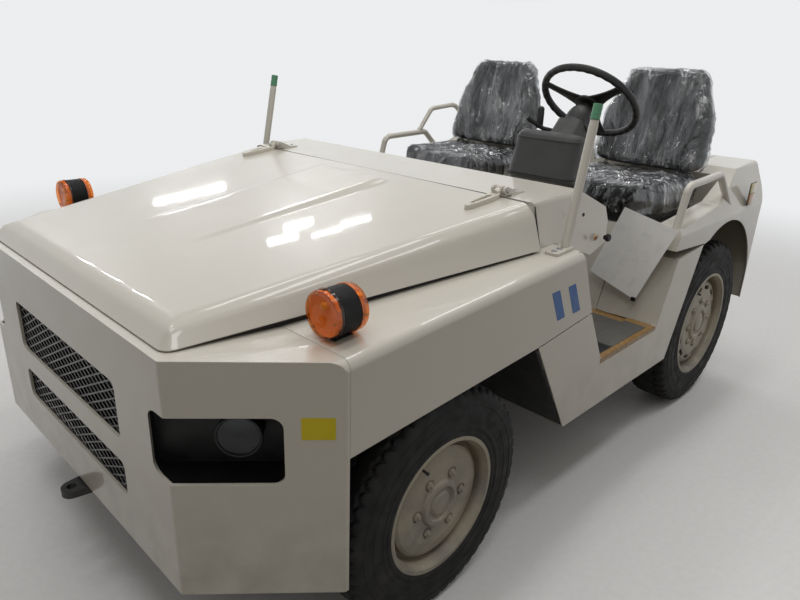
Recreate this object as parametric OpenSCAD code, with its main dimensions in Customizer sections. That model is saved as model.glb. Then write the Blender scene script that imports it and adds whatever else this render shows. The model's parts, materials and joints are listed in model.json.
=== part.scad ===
// Airport baggage tug: an open two-seat towing tractor with a low wedge hood.
// Millimetres. +X is forward, +Y is the vehicle's left, the wheels stand on z = 0.
// x is measured from the middle of the overall length.

/* [Body] */
// Overall width over the fenders
body_w = 1750; // [1600:10:1900]
// Flat front face, ahead of the middle
face_x = 1595; // [1500:5:1700]
// Width of the flat front face between the two corner cuts
face_w = 1226; // [900:2:1400]
// Where each front corner cut meets the side
corner_x = 1305; // [1200:5:1400]
// Bottom edge of the front panel
skirt_z = 301; // [250:1:400]
// Height of the fender deck at the front corner
deck_z = 922; // [850:1:1000]
// Height of the fender deck at its rear end
deck_rear_z = 982; // [900:1:1050]
// Sheet thickness of the body panels
skin = 5; // [3:0.5:8]
// Bottom edge of the sill
sill_z = 360; // [300:5:420]
// Height of the step floor
floor_z = 540; // [480:5:600]
// Rear end of the body
tail_x = -1375; // [-1500:5:-1300]
// Height of the rear deck behind the seats
rear_deck_z = 1100; // [1000:5:1200]

/* [Grille and lamps] */
// Width of the two grille slots
slot_w = 716; // [500:2:900]
// Lower and upper edge of the lower slot
low_slot = [439, 541];
// Lower and upper edge of the upper slot
high_slot = [611, 771];
// Long diagonal of one diamond of the grille mesh
mesh_w = 52; // [30:1:80]
// Short diagonal of one diamond
mesh_h = 26; // [15:1:50]
// Width of a mesh strand
strand = 5; // [3:0.5:8]
// Lower and upper edge of the headlamp opening
lamp_z = [615, 787];
// Length of the headlamp opening along the corner cut
lamp_len = 305; // [200:5:340]
// Diameter of the round turn lamp on each fender
turn_d = 116; // [90:2:150]
// Thickness of the turn lamp, front lens to rear lens
turn_w = 100; // [60:2:120]
// Width of its black middle band
turn_band = 54; // [20:2:70]

/* [Hood] */
// Front edge of the hood
hood_x0 = 1572; // [1500:2:1590]
// Rear edge of the hood, where it meets the cowl
hood_x1 = 447; // [400:1:500]
// Height of the hood's top at its rear edge
hood_z = 1118; // [1050:1:1200]
// Length of the raised middle of the hood
crease_len = 790; // [500:10:900]
// Greatest height of the raised middle
crease_h = 12; // [6:1:20]

/* [Wheels] */
// Front axle line
front_axle_x = 932; // [850:1:1000]
// Rear axle line
rear_axle_x = -905; // [-1000:5:-850]
// Front tyre radius
front_r = 350; // [320:5:380]
// Rear tyre radius
rear_r = 390; // [360:5:420]
// Front tyre width
front_tyre_w = 168; // [140:2:200]
// Rear tyre width
rear_tyre_w = 190; // [160:2:220]
// Outer face of the front tyres, from the middle
front_out = 869; // [800:1:872]
// Outer face of the rear tyres, from the middle
rear_out = 857; // [800:1:870]
// Radius of the front rim's flange
front_rim_r = 209; // [190:1:230]
// Radius of the rear rim's flange
rear_rim_r = 243; // [220:1:260]
// Kingpin distance from the middle
kingpin_y = 600; // [560:5:640]
// Length of the steering arms
arm_len = 150; // [120:5:180]

/* [Cab] */
// Seat middle, from the middle of the tug
seat_y = 455; // [400:5:500]
// Seat width
seat_w = 500; // [440:10:540]
// Steering wheel diameter
wheel_d = 410; // [360:5:440]
// Tilt of the steering axis above the horizontal
wheel_tilt = 48; // [30:1:75]
// Diameter of the straight mirror stays
stay_d = 28; // [20:1:36]
// Top of the mirror stays
stay_top = 1409; // [1300:1:1500]

/* [Hidden] */
half_w = body_w / 2;
// Seating gap between pieces that rest on each other
gap = 0.3;
// Depth of the folded lips round the front openings
lip = 9;
// Radius of the body's upper outer edge
edge_r = 28;
// Radius of the rear corners in plan
tail_r = 60;
half_face = face_w / 2;
fender_front_x = corner_x - 11;
deck_rear_x = 348;
deck_slope = (deck_rear_z - deck_z) / (corner_x - deck_rear_x);
cut_angle = atan2(half_w - half_face, face_x - corner_x);
seat_top = 1062;
seat_box_z = 895;
floor_front_x = 130;
step_front = [[135, 560], [245, 750]];
step_rear = [[-315, 545], [-413, 805]];
rear_arch_c = [-915, 468];
rear_arch_r = 418;
// Room between a rear tyre and its wheelhouse's inner wall
wheel_room = 57;
wheelhouse_y = rear_out - rear_tyre_w - wheel_room;
curb_y = half_w - 107;
floor_y = half_w - 117;
fold_y = half_w - 185;
cowl_foot_y = half_w - 93;
cowl_top_y = half_w - 143;
hood_side_y = half_w - 99;
hood_top_y = half_w - 169;
hood_nose_y = half_face - 43;
slope_foot = [5, 1052];
slope_top = [185, 1132];
rail_y = 345;
rail_w = 80;
tail_lamp_z = 985;
exhaust_y = 236;
exhaust_z = 476;
exhaust_over_axle = 530;
pipe_r = 22;
silencer_r = 54;
silencer_len = 420;
silencer_x = -560;
steer_c = [-319, 450, 1372];
pod_x = 45;
// pedals: distance from the middle, width and length of the pad
pedals = [[330, 58, 105], [450, 82, 60], [560, 72, 60]];
pedal_foot = [150, 0, 655];
pedal_lean = 33;
turn_pos = [1236, half_w - 113];
stay_foot = [366, half_w - 61];
stay_lean = -86;
stay_tip = 60;

function deck_at(x) = deck_z + (corner_x - x) * deck_slope;
function slope_at(x) = slope_foot[1] + (x - slope_foot[0]) * (slope_top[1] - slope_foot[1])
  / (slope_top[0] - slope_foot[0]);

paint = [0.87, 0.85, 0.81];
black = [0.06, 0.06, 0.065];
steel = [0.32, 0.32, 0.33];
seat_grey = [0.22, 0.23, 0.23];
pod_grey = [0.13, 0.14, 0.14];
rubber = [0.05, 0.05, 0.05];
amber = [0.92, 0.34, 0.04];
cream = [0.78, 0.77, 0.68];

// Mirrors its children to the right-hand side when side is -1.
module on_side(side) {
  mirror([0, side < 0 ? 1 : 0, 0]) children();
}

// A profile drawn in x and z, from y0 to y1.
module side_slab(pts, y0, y1) {
  translate([0, y1, 0]) rotate([90, 0, 0]) linear_extrude(y1 - y0) polygon(pts);
}

// The same for a ready 2D shape.
module side_sheet(y0, y1) {
  translate([0, y1, 0]) rotate([90, 0, 0]) linear_extrude(y1 - y0) children();
}

// A profile drawn in y and z, from x0 to x1.
module cross_sheet(x0, x1) {
  translate([x0, 0, 0]) rotate([90, 0, 90]) linear_extrude(x1 - x0) children();
}

// A box between two corners.
module block(a, b) {
  translate([min(a[0], b[0]), min(a[1], b[1]), min(a[2], b[2])])
    cube([abs(b[0] - a[0]), abs(b[1] - a[1]), abs(b[2] - a[2])]);
}

// A round bar between two points.
module bar(a, b, r) {
  d = b - a;
  l = norm(d);
  translate(a) rotate([0, acos(d[2] / l), atan2(d[1], d[0])]) cylinder(r = r, h = l, $fn = 32);
}

function unit(v) = v / norm(v);
function turn_at(pts, i) = acos(unit(pts[i] - pts[i - 1]) * unit(pts[i + 1] - pts[i]));

// Length of straight run that the bend at a point takes up, less the overlap into it.
function bend_reach(pts, i, bend) =
  i == 0 || i == len(pts) - 1 ? 0 : bend * tan(turn_at(pts, i) / 2) - 4;

// A round tube through a list of points. Its bends are elbows a little thicker than the runs.
module bent_tube(pts, r, bend) {
  for (i = [0 : len(pts) - 2]) {
    u = unit(pts[i + 1] - pts[i]);
    bar(pts[i] + u * bend_reach(pts, i, bend), pts[i + 1] - u * bend_reach(pts, i + 1, bend), r);
  }
  for (i = [1 : len(pts) - 2]) {
    turn = turn_at(pts, i);
    u = unit(pts[i] - pts[i - 1]);
    v = unit(pts[i + 1] - pts[i]);
    n = unit(v - (v * u) * u);
    w = cross(u, n);
    c = pts[i] - u * bend * tan(turn / 2) + n * bend;
    multmatrix([[-n[0], u[0], w[0], c[0]], [-n[1], u[1], w[1], c[1]], [-n[2], u[2], w[2], c[2]], [0, 0, 0, 1]])
      rotate_extrude(angle = turn, $fn = 64) translate([bend, 0]) circle(r = r + 0.5, $fn = 32);
  }
}

// A flat rectangle with round corners, centred.
module round_rect(w, h, r) {
  offset(r = r, $fn = 32) square([w - 2 * r, h - 2 * r], center = true);
}

// Plan outline of the body's front, with its rear edge at back_x.
module nose_plan(back_x) {
  offset(r = 12, $fn = 48) offset(delta = -12)
    polygon([[back_x, half_w], [corner_x, half_w], [face_x, half_face],
      [face_x, -half_face], [corner_x, -half_w], [back_x, -half_w]]);
}

// Places its children on the middle of a corner cut, x outwards, y along the cut.
module on_cut(side, along, z) {
  t = [-(face_x - corner_x), half_w - half_face] / norm([face_x - corner_x, half_w - half_face]);
  on_side(side) translate([face_x + t[0] * along, half_face + t[1] * along, z])
    rotate([0, 0, 90 - cut_angle]) children();
}

module lamp_window(side, depth, grow) {
  on_cut(side, lamp_len / 2 - 50, (lamp_z[0] + lamp_z[1]) / 2)
    rotate([0, -90, 0]) translate([0, 0, -60]) linear_extrude(60 + depth)
      round_rect(lamp_z[1] - lamp_z[0] + 2 * grow, lamp_len + 2 * grow, 28 + grow);
}

// Solid of the body's front under the deck, drawn back by a wall thickness.
module nose_body(in) {
  intersection() {
    translate([0, 0, skirt_z - in * 20]) linear_extrude(deck_z - in - skirt_z + in * 20)
      offset(delta = -in) nose_plan(corner_x - 320);
    cross_sheet(corner_x - 330, face_x + 10) deck_section(in, skirt_z - 200, deck_z);
  }
}

// Cross-section of the body with its round upper edges.
module deck_section(in, z0, z1) {
  offset(r = edge_r - in, $fn = 40) offset(delta = in - edge_r)
    polygon([[in - half_w, z0], [half_w - in, z0], [half_w - in, z1 - in], [in - half_w, z1 - in]]);
}

module front_panel() {
  color(paint) union() {
    difference() {
      intersection() {
        nose_body(0);
        block([fender_front_x, -half_w, 0], [face_x + 10, half_w, 1000]);
      }
      nose_body(skin);
      // opening that the hood closes
      translate([0, 0, deck_z - 20]) linear_extrude(40)
        polygon([[face_x - 75, 520], [fender_front_x - 10, 590], [fender_front_x - 10, -590],
          [face_x - 75, -520]]);
      openings(0, 130);
    }
    // folded lips round the openings
    difference() {
      intersection() {
        openings(4, 100);
        translate([0, 0, skirt_z]) linear_extrude(deck_z - skirt_z) difference() {
          offset(delta = -1) nose_plan(corner_x - 320);
          offset(delta = -lip) nose_plan(corner_x - 330);
        }
      }
      openings(0, 130);
    }
  }
}

// The two grille slots and the two lamp windows, as cutters.
module openings(grow, depth) {
  for (s = [low_slot, high_slot])
    translate([face_x - lip - 10, 0, (s[0] + s[1]) / 2]) rotate([90, 0, 90]) linear_extrude(60)
      round_rect(slot_w + 2 * grow, s[1] - s[0] + 2 * grow, 22 + grow);
  for (side = [1, -1]) lamp_window(side, depth, grow);
}

// Diamonds of one mesh field, as holes to be cut.
module diamonds(w, h) {
  nx = floor(w / mesh_w);
  nz = floor(h / mesh_h);
  k = strand / mesh_h;
  for (i = [-nx : nx], j = [-nz : nz])
    if ((i + j) % 2 == 0) translate([i * mesh_w / 2, j * mesh_h / 2])
      polygon([[mesh_w / 2 * (1 - k), 0], [0, mesh_h / 2 * (1 - k)],
        [-mesh_w / 2 * (1 - k), 0], [0, -mesh_h / 2 * (1 - k)]]);
}

module grille_mesh() {
  z0 = low_slot[0] - 14;
  z1 = high_slot[1] + 14;
  color(black) cross_sheet(face_x - lip - gap - 5, face_x - lip - gap) difference() {
    translate([-slot_w / 2 - 16, z0]) square([slot_w + 32, z1 - z0]);
    for (s = [low_slot, high_slot]) translate([0, (s[0] + s[1]) / 2]) intersection() {
      square([slot_w + 8, s[1] - s[0] + 8], center = true);
      diamonds(slot_w + 2 * mesh_w, s[1] - s[0] + 2 * mesh_h);
    }
  }
}

module radiator() {
  color(black) difference() {
    block([1500 + gap, -370, 420], [face_x - 35, 370, 860]);
    for (side = [1, -1]) block([face_x - 50, side * 371, 700], [face_x - 34, side * 350, 780]);
  }
}

// Solid envelope of the hood, drawn back by a wall thickness.
module hood_form(in) {
  hull() {
    for (s = [1, -1]) {
      translate([hood_x0 - 30 - in, s * (hood_nose_y - in), 928 - in * 3]) cylinder(r = 28, h = 4, $fn = 32);
      translate([hood_x1 + in, s * (hood_side_y - in) - (s > 0 ? 6 : 0), 984 - in * 3]) cube([6, 6, 4]);
      translate([hood_x0 - 62 - in, s * (hood_nose_y - 24 - in), 948 - in]) sphere(r = 26, $fn = 32);
      translate([hood_x1 + in, s * (hood_top_y - in), hood_z - 34 - in]) rotate([0, 90, 0])
        cylinder(r = 34, h = 6, $fn = 32);
    }
  }
}

module hood() {
  color(paint) union() {
    difference() {
      hood_form(0);
      hood_form(skin);
      // rear edge open under the top's lip
      block([hood_x1 - 10, -690, 930], [hood_x1 + 20, 690, hood_z - 60]);
      for (s = [1, -1]) translate([hood_x1 + 190, s * 601, 1000]) cylinder(r = 6, h = 200, $fn = 24);
    }
    // raised middle, rising towards the rear with a round end
    intersection() {
      hull() {
        translate([hood_x1 + 60, -178, 1000]) cube([20, 356, 108 + crease_h]);
        translate([hood_x1 + crease_len, -148, 900]) cube([10, 296, 118]);
      }
      translate([0, 0, 1000]) linear_extrude(200) offset(r = 40, $fn = 32)
        square([2 * (hood_x1 + crease_len + 20), 290], center = true);
      translate([hood_x1 + 62, -200, 1000]) cube([crease_len, 400, 200]);
    }
    for (s = [1, -1]) hood_leaf(s);
  }
}

// Where the hinge pins are.
hinge_x = hood_x1 - 14;
hinge_z = hood_z + 20;

module hood_leaf(s) {
  translate([0, s * 601, 0]) {
    hull() {
      translate([hinge_x + 150, 0, hood_z - 22]) cylinder(r = 16, h = 16, $fn = 32);
      translate([hinge_x + 30, -24, hood_z - 12]) cube([10, 48, 24]);
    }
    difference() {
      hull() {
        translate([hinge_x, -14, hinge_z]) rotate([-90, 0, 0]) cylinder(r = 14, h = 28, $fn = 32);
        translate([hinge_x + 40, -14, hood_z - 8]) cube([8, 28, 18]);
      }
      translate([hinge_x, -20, hinge_z]) rotate([-90, 0, 0]) cylinder(r = 6.3, h = 40, $fn = 32);
    }
  }
}

module cowl_leaf(s) {
  translate([0, s * 601, 0]) {
    for (e = [-1, 1]) hull() {
      translate([hinge_x, e * 22 - 5, hinge_z]) rotate([-90, 0, 0]) cylinder(r = 13, h = 10, $fn = 32);
      translate([hinge_x - 60, e * 22 - 5, hood_z + 2]) cube([8, 10, 6]);
    }
    translate([hinge_x, -30, hinge_z]) rotate([-90, 0, 0]) cylinder(r = 6, h = 60, $fn = 32);
    translate([hinge_x - 90, -30, hood_z]) cube([70, 60, 10]);
  }
}

module cowl() {
  color(paint) union() {
    difference() {
      intersection() {
        side_slab([[hood_x1 - 5, hood_z], slope_top, slope_foot, [-7, 1000], [18, 931], [121, 905],
          [340, deck_at(340) + gap], [hood_x1 - 5, deck_at(hood_x1 - 5) + gap]], -half_w, half_w);
        cross_sheet(-20, hood_x1 - 4) offset(r = 34, $fn = 40) offset(delta = -34)
          polygon([[-cowl_foot_y, 860], [-cowl_top_y, 1138], [cowl_top_y, 1138], [cowl_foot_y, 860]]);
      }
      intersection() {
        side_slab([[hood_x1 + 5, 900], [hood_x1 + 5, hood_z - skin], [slope_top[0] + 2, slope_top[1] - skin],
          [slope_foot[0] + skin, slope_foot[1] - skin], [-7 + skin, 1000], [18 + skin, 935], [100, 880]],
          -half_w, half_w);
        cross_sheet(-20, hood_x1 + 10) offset(delta = -skin) offset(r = 34, $fn = 40)
          offset(delta = -34) polygon([[-cowl_foot_y - 18, 760], [-cowl_top_y, 1138], [cowl_top_y, 1138],
            [cowl_foot_y + 18, 760]]);
      }
      // the instrument panel's knee room between the two side plates
      block([-40, 32 - cowl_top_y, 850], [110, cowl_top_y - 32, 1010]);
    }
    for (s = [1, -1]) cowl_leaf(s);
  }
}

module fender(side) {
  y_in = 560;
  color(paint) on_side(side) union() {
    // deck and outer band in one bent sheet, rising gently to the rear
    difference() {
      intersection() {
        side_slab([[fender_front_x - gap, 940], [deck_rear_x, 1000], [deck_rear_x, deck_at(deck_rear_x) - 1],
          [246, 757], [548, 724], [fender_front_x - gap, 679]], y_in, half_w + 1);
        translate([corner_x, 0, deck_z]) rotate([0, atan(deck_slope), 0]) cross_sheet(-1100, 60)
          difference() {
            deck_section(0, -400, 0);
            deck_section(skin, -450, 0);
          }
      }
      translate([0, 0, 850]) linear_extrude(300)
        polygon([[fender_front_x + 5, 500], [fender_front_x + 5, half_face - 21], [deck_rear_x - 5, hood_top_y],
          [deck_rear_x - 5, 500]]);
    }
    // return along the slanted rear end
    side_slab([[deck_rear_x, deck_at(deck_rear_x) - 2], [deck_rear_x + 7, deck_at(deck_rear_x) - 2],
      [253, 757], [246, 757]], curb_y - 8, half_w - edge_r / 2);
    // strap down to the frame ahead of the wheel
    block([fender_front_x - 40, half_face - 21, deck_z - 4], [fender_front_x - 1, half_face + 27, deck_z - 60]);
  }
}

module side_panel(side) {
  color(paint) on_side(side) union() {
    side_slab([[334, sill_z], [548, 719], [251, 752], step_front[1], step_front[0], [120, 550],
      [-300, 546], step_rear[0], step_rear[1], [-653, 824], [-460, sill_z]], half_w - skin, half_w);
    // returns at the front and rear of the step and along the threshold
    side_slab([step_front[0], step_front[1], step_front[1] + [7, -1], step_front[0] + [7, 0]],
      fold_y + 10, half_w);
    side_slab([step_rear[0], step_rear[1], step_rear[1] - [7, 0], step_rear[0] - [7, 0]],
      wheelhouse_y + 2, half_w);
    block([-316, floor_y + 2, 545], [136, half_w, 550]);
    // return ahead of the rear wheel
    side_slab([[-460, 374], [-653, 824], [-646, 824], [-453, 374]], wheelhouse_y + 2, half_w);
    // bottom return of the sill
    block([-460, half_w - 75, sill_z], [334, half_w, sill_z + skin]);
    // top return behind the step
    side_slab([step_rear[1], [-653, 824], [-653, 819], step_rear[1] - [0, 5]], curb_y - 8, half_w);
  }
}

module rear_arch() {
  translate(rear_arch_c) circle(r = rear_arch_r, $fn = 96);
  polygon([[-460, 300], [-460, 374], [-653, 824], [-915, 870], [-915, 300]]);
  translate([-1325, 300]) square([420, 170]);
}

module rear_outline(in) {
  offset(delta = -in) polygon([[-369, 847 - in * 4], [-398, 925], [-835, 965], [-1079, 1088],
    [tail_x + 12, rear_deck_z], [tail_x, 820], [-1348, 570], [-1348, 424 - in * 30],
    [-655 + in * 6, 424 - in * 30], [-655 + in * 6, 829 - in * 4]]);
}

// The seat's side of the wheelhouse is lower than the fender's outer curb.
module seat_step(in) {
  block([-1018 - in, 500, seat_box_z - 5 - in], [-200, curb_y + in, 1300]);
}

// Raised round seat of a tail lamp, on the sloping end of a rear fender.
module tail_lamp_seat() {
  translate([tail_x + 9, (wheelhouse_y + half_w - tail_r) / 2, tail_lamp_z]) rotate([0, -90 + 2.5, 0])
    rotate_extrude($fn = 64) polygon([[0, 0], [56, 0], [52, 14], [47, 14], [45, 6], [0, 6]]);
}

module rear_fender(side) {
  color(paint) on_side(side) union() {
    tail_lamp_seat();
    rear_fender_shell();
  }
}

module rear_fender_shell() {
  difference() {
    intersection() {
      side_sheet(wheelhouse_y, half_w) rear_outline(0);
      cross_sheet(tail_x - 20, -300) rear_section(0);
      linear_extrude(rear_deck_z + 1) rear_plan(0);
    }
    seat_step(0);
    difference() {
      intersection() {
        side_sheet(wheelhouse_y + skin, half_w) rear_outline(skin);
        cross_sheet(tail_x - 20, -300) rear_section(skin);
        linear_extrude(rear_deck_z) rear_plan(skin);
      }
      seat_step(skin);
    }
    side_sheet(half_w - 60, half_w + 20) rear_arch();
    // the inner wall is open where the axle comes through
    side_sheet(wheelhouse_y - 10, wheelhouse_y + 20) translate([rear_axle_x, 420])
      offset(r = 40, $fn = 32) square([200, 260], center = true);
  }
}

// Cross-section of the rear, with round upper edges.
module rear_section(in) {
  offset(r = edge_r - in, $fn = 40) offset(delta = -edge_r)
    polygon([[0, 200 - in * 30], [half_w, 200 - in * 30], [half_w, 905], [half_w - 75, rear_deck_z],
      [0, rear_deck_z + 20 * (in > 0 ? 0 : 1)]]);
}

// Plan of the rear, with round corners.
module rear_plan(in) {
  offset(r = tail_r - in, $fn = 48) offset(delta = -tail_r)
    translate([tail_x, -half_w]) square([-tail_x - 200, body_w]);
}

module rear_body() {
  w = wheelhouse_y - gap;
  color(paint) difference() {
    rear_folds(w);
    block([-1400, -120, 400], [-1330, 120, 566]);
  }
}

module rear_folds(w) {
  union() {
    // seat box: a folded sheet from the floor up, back and up again
    side_slab([[-315, floor_z], [-424, seat_box_z], [-1018, seat_box_z], [-1018, rear_deck_z],
      [tail_x + 12, rear_deck_z], [tail_x, 820], [-1348, 570], [-1348, 430], [-1340, 430],
      [-1340, 570], [tail_x + 8, 820], [tail_x + 18, rear_deck_z - 7], [-1025, rear_deck_z - 7],
      [-1025, seat_box_z - 7], [-429, seat_box_z - 7], [-322, floor_z]], -w, w);
    // side walls of the seat box and the rear deck
    for (s = [1, -1]) side_slab([[-320, floor_z], [-427, seat_box_z - 4], [-1020, seat_box_z - 4],
      [-1020, rear_deck_z - 2], [tail_x + 14, rear_deck_z - 2], [tail_x + 2, 820], [-1346, 600],
      [-700, 600], [-640, floor_z]], s > 0 ? w - skin : -w, s > 0 ? w : -w + skin);
  }
}

module floor_pan() {
  color(black) union() {
    // floor sheet between the sills
    block([-318, -floor_y, floor_z - 5], [floor_front_x, floor_y, floor_z]);
    // firewall and toe board
    side_slab([[floor_front_x - 5, floor_z - 5], [floor_front_x + 5, floor_z - 5], [255, 752], [180, 905],
      [174, 903], [247, 752]], -fold_y, fold_y);
    // mudguard plates behind the front wheels
    for (s = [1, -1]) side_slab([[343, sill_z + 10], [552, 712], [546, 716], [335, sill_z + 10]],
      s > 0 ? 440 : 9 - half_w, s > 0 ? half_w - 9 : -440);
    // inner walls that join the mudguards to the firewall
    for (s = [1, -1]) side_slab([[floor_front_x - 5, floor_z - 5], [247, 752], [548, 716], [340, sill_z + 10],
      [floor_front_x - 5, 480]], s > 0 ? 436 : -442, s > 0 ? 442 : -436);
    for (p = pedals) pedal(p[0], p[1], p[2]);
    // floor outriggers to both sills
    for (s = [1, -1], x = [60, -290])
      block([x, s * 430, floor_z - 60], [x + 50, s * (half_w - skin - gap), floor_z - 5]);
  }
}

// One pedal at y: a pad w wide and h long on an arm from the toe board.
module pedal(y, w, h) {
  translate(pedal_foot + [0, y, 0]) rotate([0, pedal_lean, 0]) {
    bar([4, 0, 0], [40, 0, 0], 9);
    rotate([90, 0, 90]) linear_extrude(9) round_rect(w, h, 9);
  }
}

module chassis_frame() {
  rail = [[1470, 400], [1470, 560], [560, 560], [420, 500], [-380, 500], [-520, 620], [-1330, 620],
    [-1330, 460], [-640, 460], [-440, 400]];
  color(black) union() {
    for (s = [1, -1]) side_slab(rail, s > 0 ? rail_y : -rail_y - rail_w, s > 0 ? rail_y + rail_w : -rail_y);
    // front cross member that carries the front panel
    block([1420, -600, 400], [1500, 600, 520]);
    for (s = [1, -1]) block([1500, s * 380, 400], [face_x - skin - gap, s * 560, 420]);
    // rear cross member that carries the hitch
    block([-1340 + gap, 10 - wheelhouse_y, 420], [-1300, wheelhouse_y - 10, 640]);
    for (x = [330, -420]) block([x, -rail_y - 10, 385], [x + 70, rail_y + 10, 418]);
    // inner aprons between the engine bay and the front wheels
    for (s = [1, -1]) side_slab([[560, 556], [1470, 556], [1470, 860], [560, 910]],
      s > 0 ? 421 : -425, s > 0 ? 425 : -421);
  }
}

module headlamp(side) {
  // an open black box behind the window with a round lamp in it
  color(black) union() {
    difference() {
      lamp_tray(side, 106, 5);
      lamp_tray(side, 101, 0);
    }
    on_cut(side, 150, 718) rotate([0, -90, 0]) translate([0, 0, 40]) difference() {
      cylinder(r = 52, h = 63, $fn = 64);
      translate([0, 0, -1]) cylinder(r = 47, h = 6, $fn = 64);
    }
  }
}

// The recess behind a headlamp window, trimmed to the inside of the sheet.
module lamp_tray(side, depth, wall) {
  intersection() {
    on_cut(side, lamp_len / 2 - 50, (lamp_z[0] + lamp_z[1]) / 2)
      rotate([0, -90, 0]) translate([0, 0, -60]) linear_extrude(60 + depth)
        round_rect(lamp_z[1] - lamp_z[0] + 10 + 2 * wall, lamp_len + 10 + 2 * wall, 33 + wall);
    translate([0, 0, 500]) linear_extrude(400) offset(delta = -skin - gap + (wall > 0 ? 0 : 10))
      nose_plan(corner_x - 320);
  }
}

module turn_lamp(side) {
  r = turn_d / 2;
  w = turn_w / 2;
  band = turn_band / 2;
  color(amber) on_side(side) translate([turn_pos[0], turn_pos[1], deck_at(turn_pos[0])]) {
    rotate([0, atan(deck_slope), 0]) translate([-14, -16, gap]) cube([44, 32, 20]);
    // two lenses back to back on a narrower middle band
    translate([0, 0, 4 + r]) rotate([0, 90, 0]) rotate_extrude($fn = 72)
      polygon([[0, -w], [r - 20, -w + 2], [r - 8, -w + 8], [r - 1.5, -w + 17], [r, -band - 1],
        [r - 1.5, -band], [r - 1.5, band], [r, band + 1], [r - 1.5, w - 17], [r - 8, w - 8],
        [r - 20, w - 2], [0, w]]);
  }
}

module mirror_stay(side) {
  x = stay_foot[0];
  y = stay_foot[1];
  z = deck_at(x);
  low = [x, y, z + 6];
  top = [x + stay_lean, y, stay_top];
  color(paint) on_side(side) union() {
    translate([x, y, z + gap]) rotate([0, atan(deck_slope), 0]) hull() for (dx = [-8, 71], dy = [-16, 16])
      translate([dx, dy, 0]) cylinder(r = 8, h = 8, $fn = 32);
    // the tube, with a slightly thinner tip for the mirror's clamp
    bar(low, top - unit(top - low) * stay_tip, stay_d / 2);
    bar(top - unit(top - low) * (stay_tip + 10), top, stay_d / 2 - 1);
  }
}

module dash_pod() {
  color(pod_grey) union() {
    intersection() {
      side_sheet(330, 614) offset(r = 18, $fn = 32) offset(delta = -18)
        polygon([[pod_x - 107, 1085], [pod_x - 83, 1085], [pod_x - 4, 1122], [pod_x - 2, 1262],
          [pod_x - 18, 1278], [pod_x - 95, 1268], [pod_x - 113, 1250]]);
      translate([0, 472, 0]) cross_sheet(-100, 60) offset(r = 32, $fn = 40) offset(delta = -32)
        polygon([[-141, 1080], [141, 1080], [133, 1280], [-133, 1280]]);
    }
    // foot on the sloping panel
    side_slab([[slope_foot[0] + 2, slope_at(slope_foot[0] + 2) + 2 * gap],
      [pod_x - 6, slope_at(pod_x - 6) + 2 * gap],
      [pod_x - 6, 1130], [pod_x - 60, 1110]], 380, 560);
    // column cover up to the steering wheel
    hull() {
      translate([pod_x - 70, steer_c[1] - 52, 1170]) cube([30, 104, 98]);
      translate(steer_c - (66 + gap) * [-cos(wheel_tilt), 0, sin(wheel_tilt)]) rotate([0, -90 + wheel_tilt, 0])
        cylinder(r1 = 48, r2 = 44, h = 10, $fn = 32);
    }
    bar([-110, 430, 1240], [-150, 330, 1290], 6);
    translate([-150, 330, 1272]) cylinder(r = 14, h = 52, $fn = 32);
  }
}

module steering_wheel() {
  r = wheel_d / 2;
  color(black) translate(steer_c) rotate([0, -90 + wheel_tilt, 0]) union() {
    rotate_extrude($fn = 96) translate([r - 14, 0]) circle(r = 14, $fn = 24);
    translate([0, 0, -56]) cylinder(r = 30, h = 60, $fn = 48);
    translate([0, 0, -20]) cylinder(r1 = 52, r2 = 44, h = 26, $fn = 48);
    for (a = [0, 120, 240]) rotate([0, 0, a]) translate([30, -17, -10]) cube([r - 40, 34, 10]);
  }
}

module cushion(y) {
  color(seat_grey) translate([-690, y, 0]) hull() {
    for (sx = [-1, 1], sy = [-1, 1]) {
      translate([sx * 215, sy * (seat_w / 2 - 40), seat_top - 38]) sphere(r = 38, $fn = 32);
      translate([sx * 205, sy * (seat_w / 2 - 60), seat_box_z + gap]) cylinder(r = 30, h = 4, $fn = 32);
    }
  }
}

// A pad made of two crossing round-cornered profiles: front view and side view.
module seat_back(y) {
  lean = 12;
  top = 453;
  half = seat_w / 2;
  color(seat_grey) translate([-905, y, seat_top + 0.8 + gap]) rotate([0, -lean, 0]) intersection() {
    side_sheet(-half, half) offset(r = 30, $fn = 40) offset(delta = -30)
      polygon([[-42, 0], [42, 0], [42, 222], [34, top], [-34, top], [-42, 222]]);
    cross_sheet(-60, 60) offset(r = 70, $fn = 64) offset(delta = -70)
      polygon([[-half + 3, 0], [half - 3, 0], [half - 3, 222], [half - 84, top], [84 - half, top],
        [3 - half, 222]]);
  }
}

module grab_rail(side) {
  y = half_w - 33;
  color(paint) on_side(side) difference() {
    union() {
      bent_tube([[-411, y, 915], [-462, y, 1086], [-780, y, 1098], [-962, y, 933]], 15, 45);
      // the passenger's higher rail stands on the lower one
      if (side < 0) bent_tube([[-715, y, 1088], [-830, y, 1225], [-1040, y, 1243], [-1132, y - 94, 1061]],
        13, 50);
    }
    // the rails end on the fender's surface
    intersection() {
      side_sheet(wheelhouse_y, half_w + 10) rear_outline(-gap);
      cross_sheet(tail_x - 20, -300) rear_section(-gap);
    }
  }
}

// Half section of the silencer: domed ends with a rolled seam at each.
module silencer_profile(r, len) {
  neck = r - 16;
  polygon([[0, 0], [neck, 0], [r - 4, 12], [r, 16], [r, len - 16], [r - 4, len - 12], [neck, len], [0, len]]);
}

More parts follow.
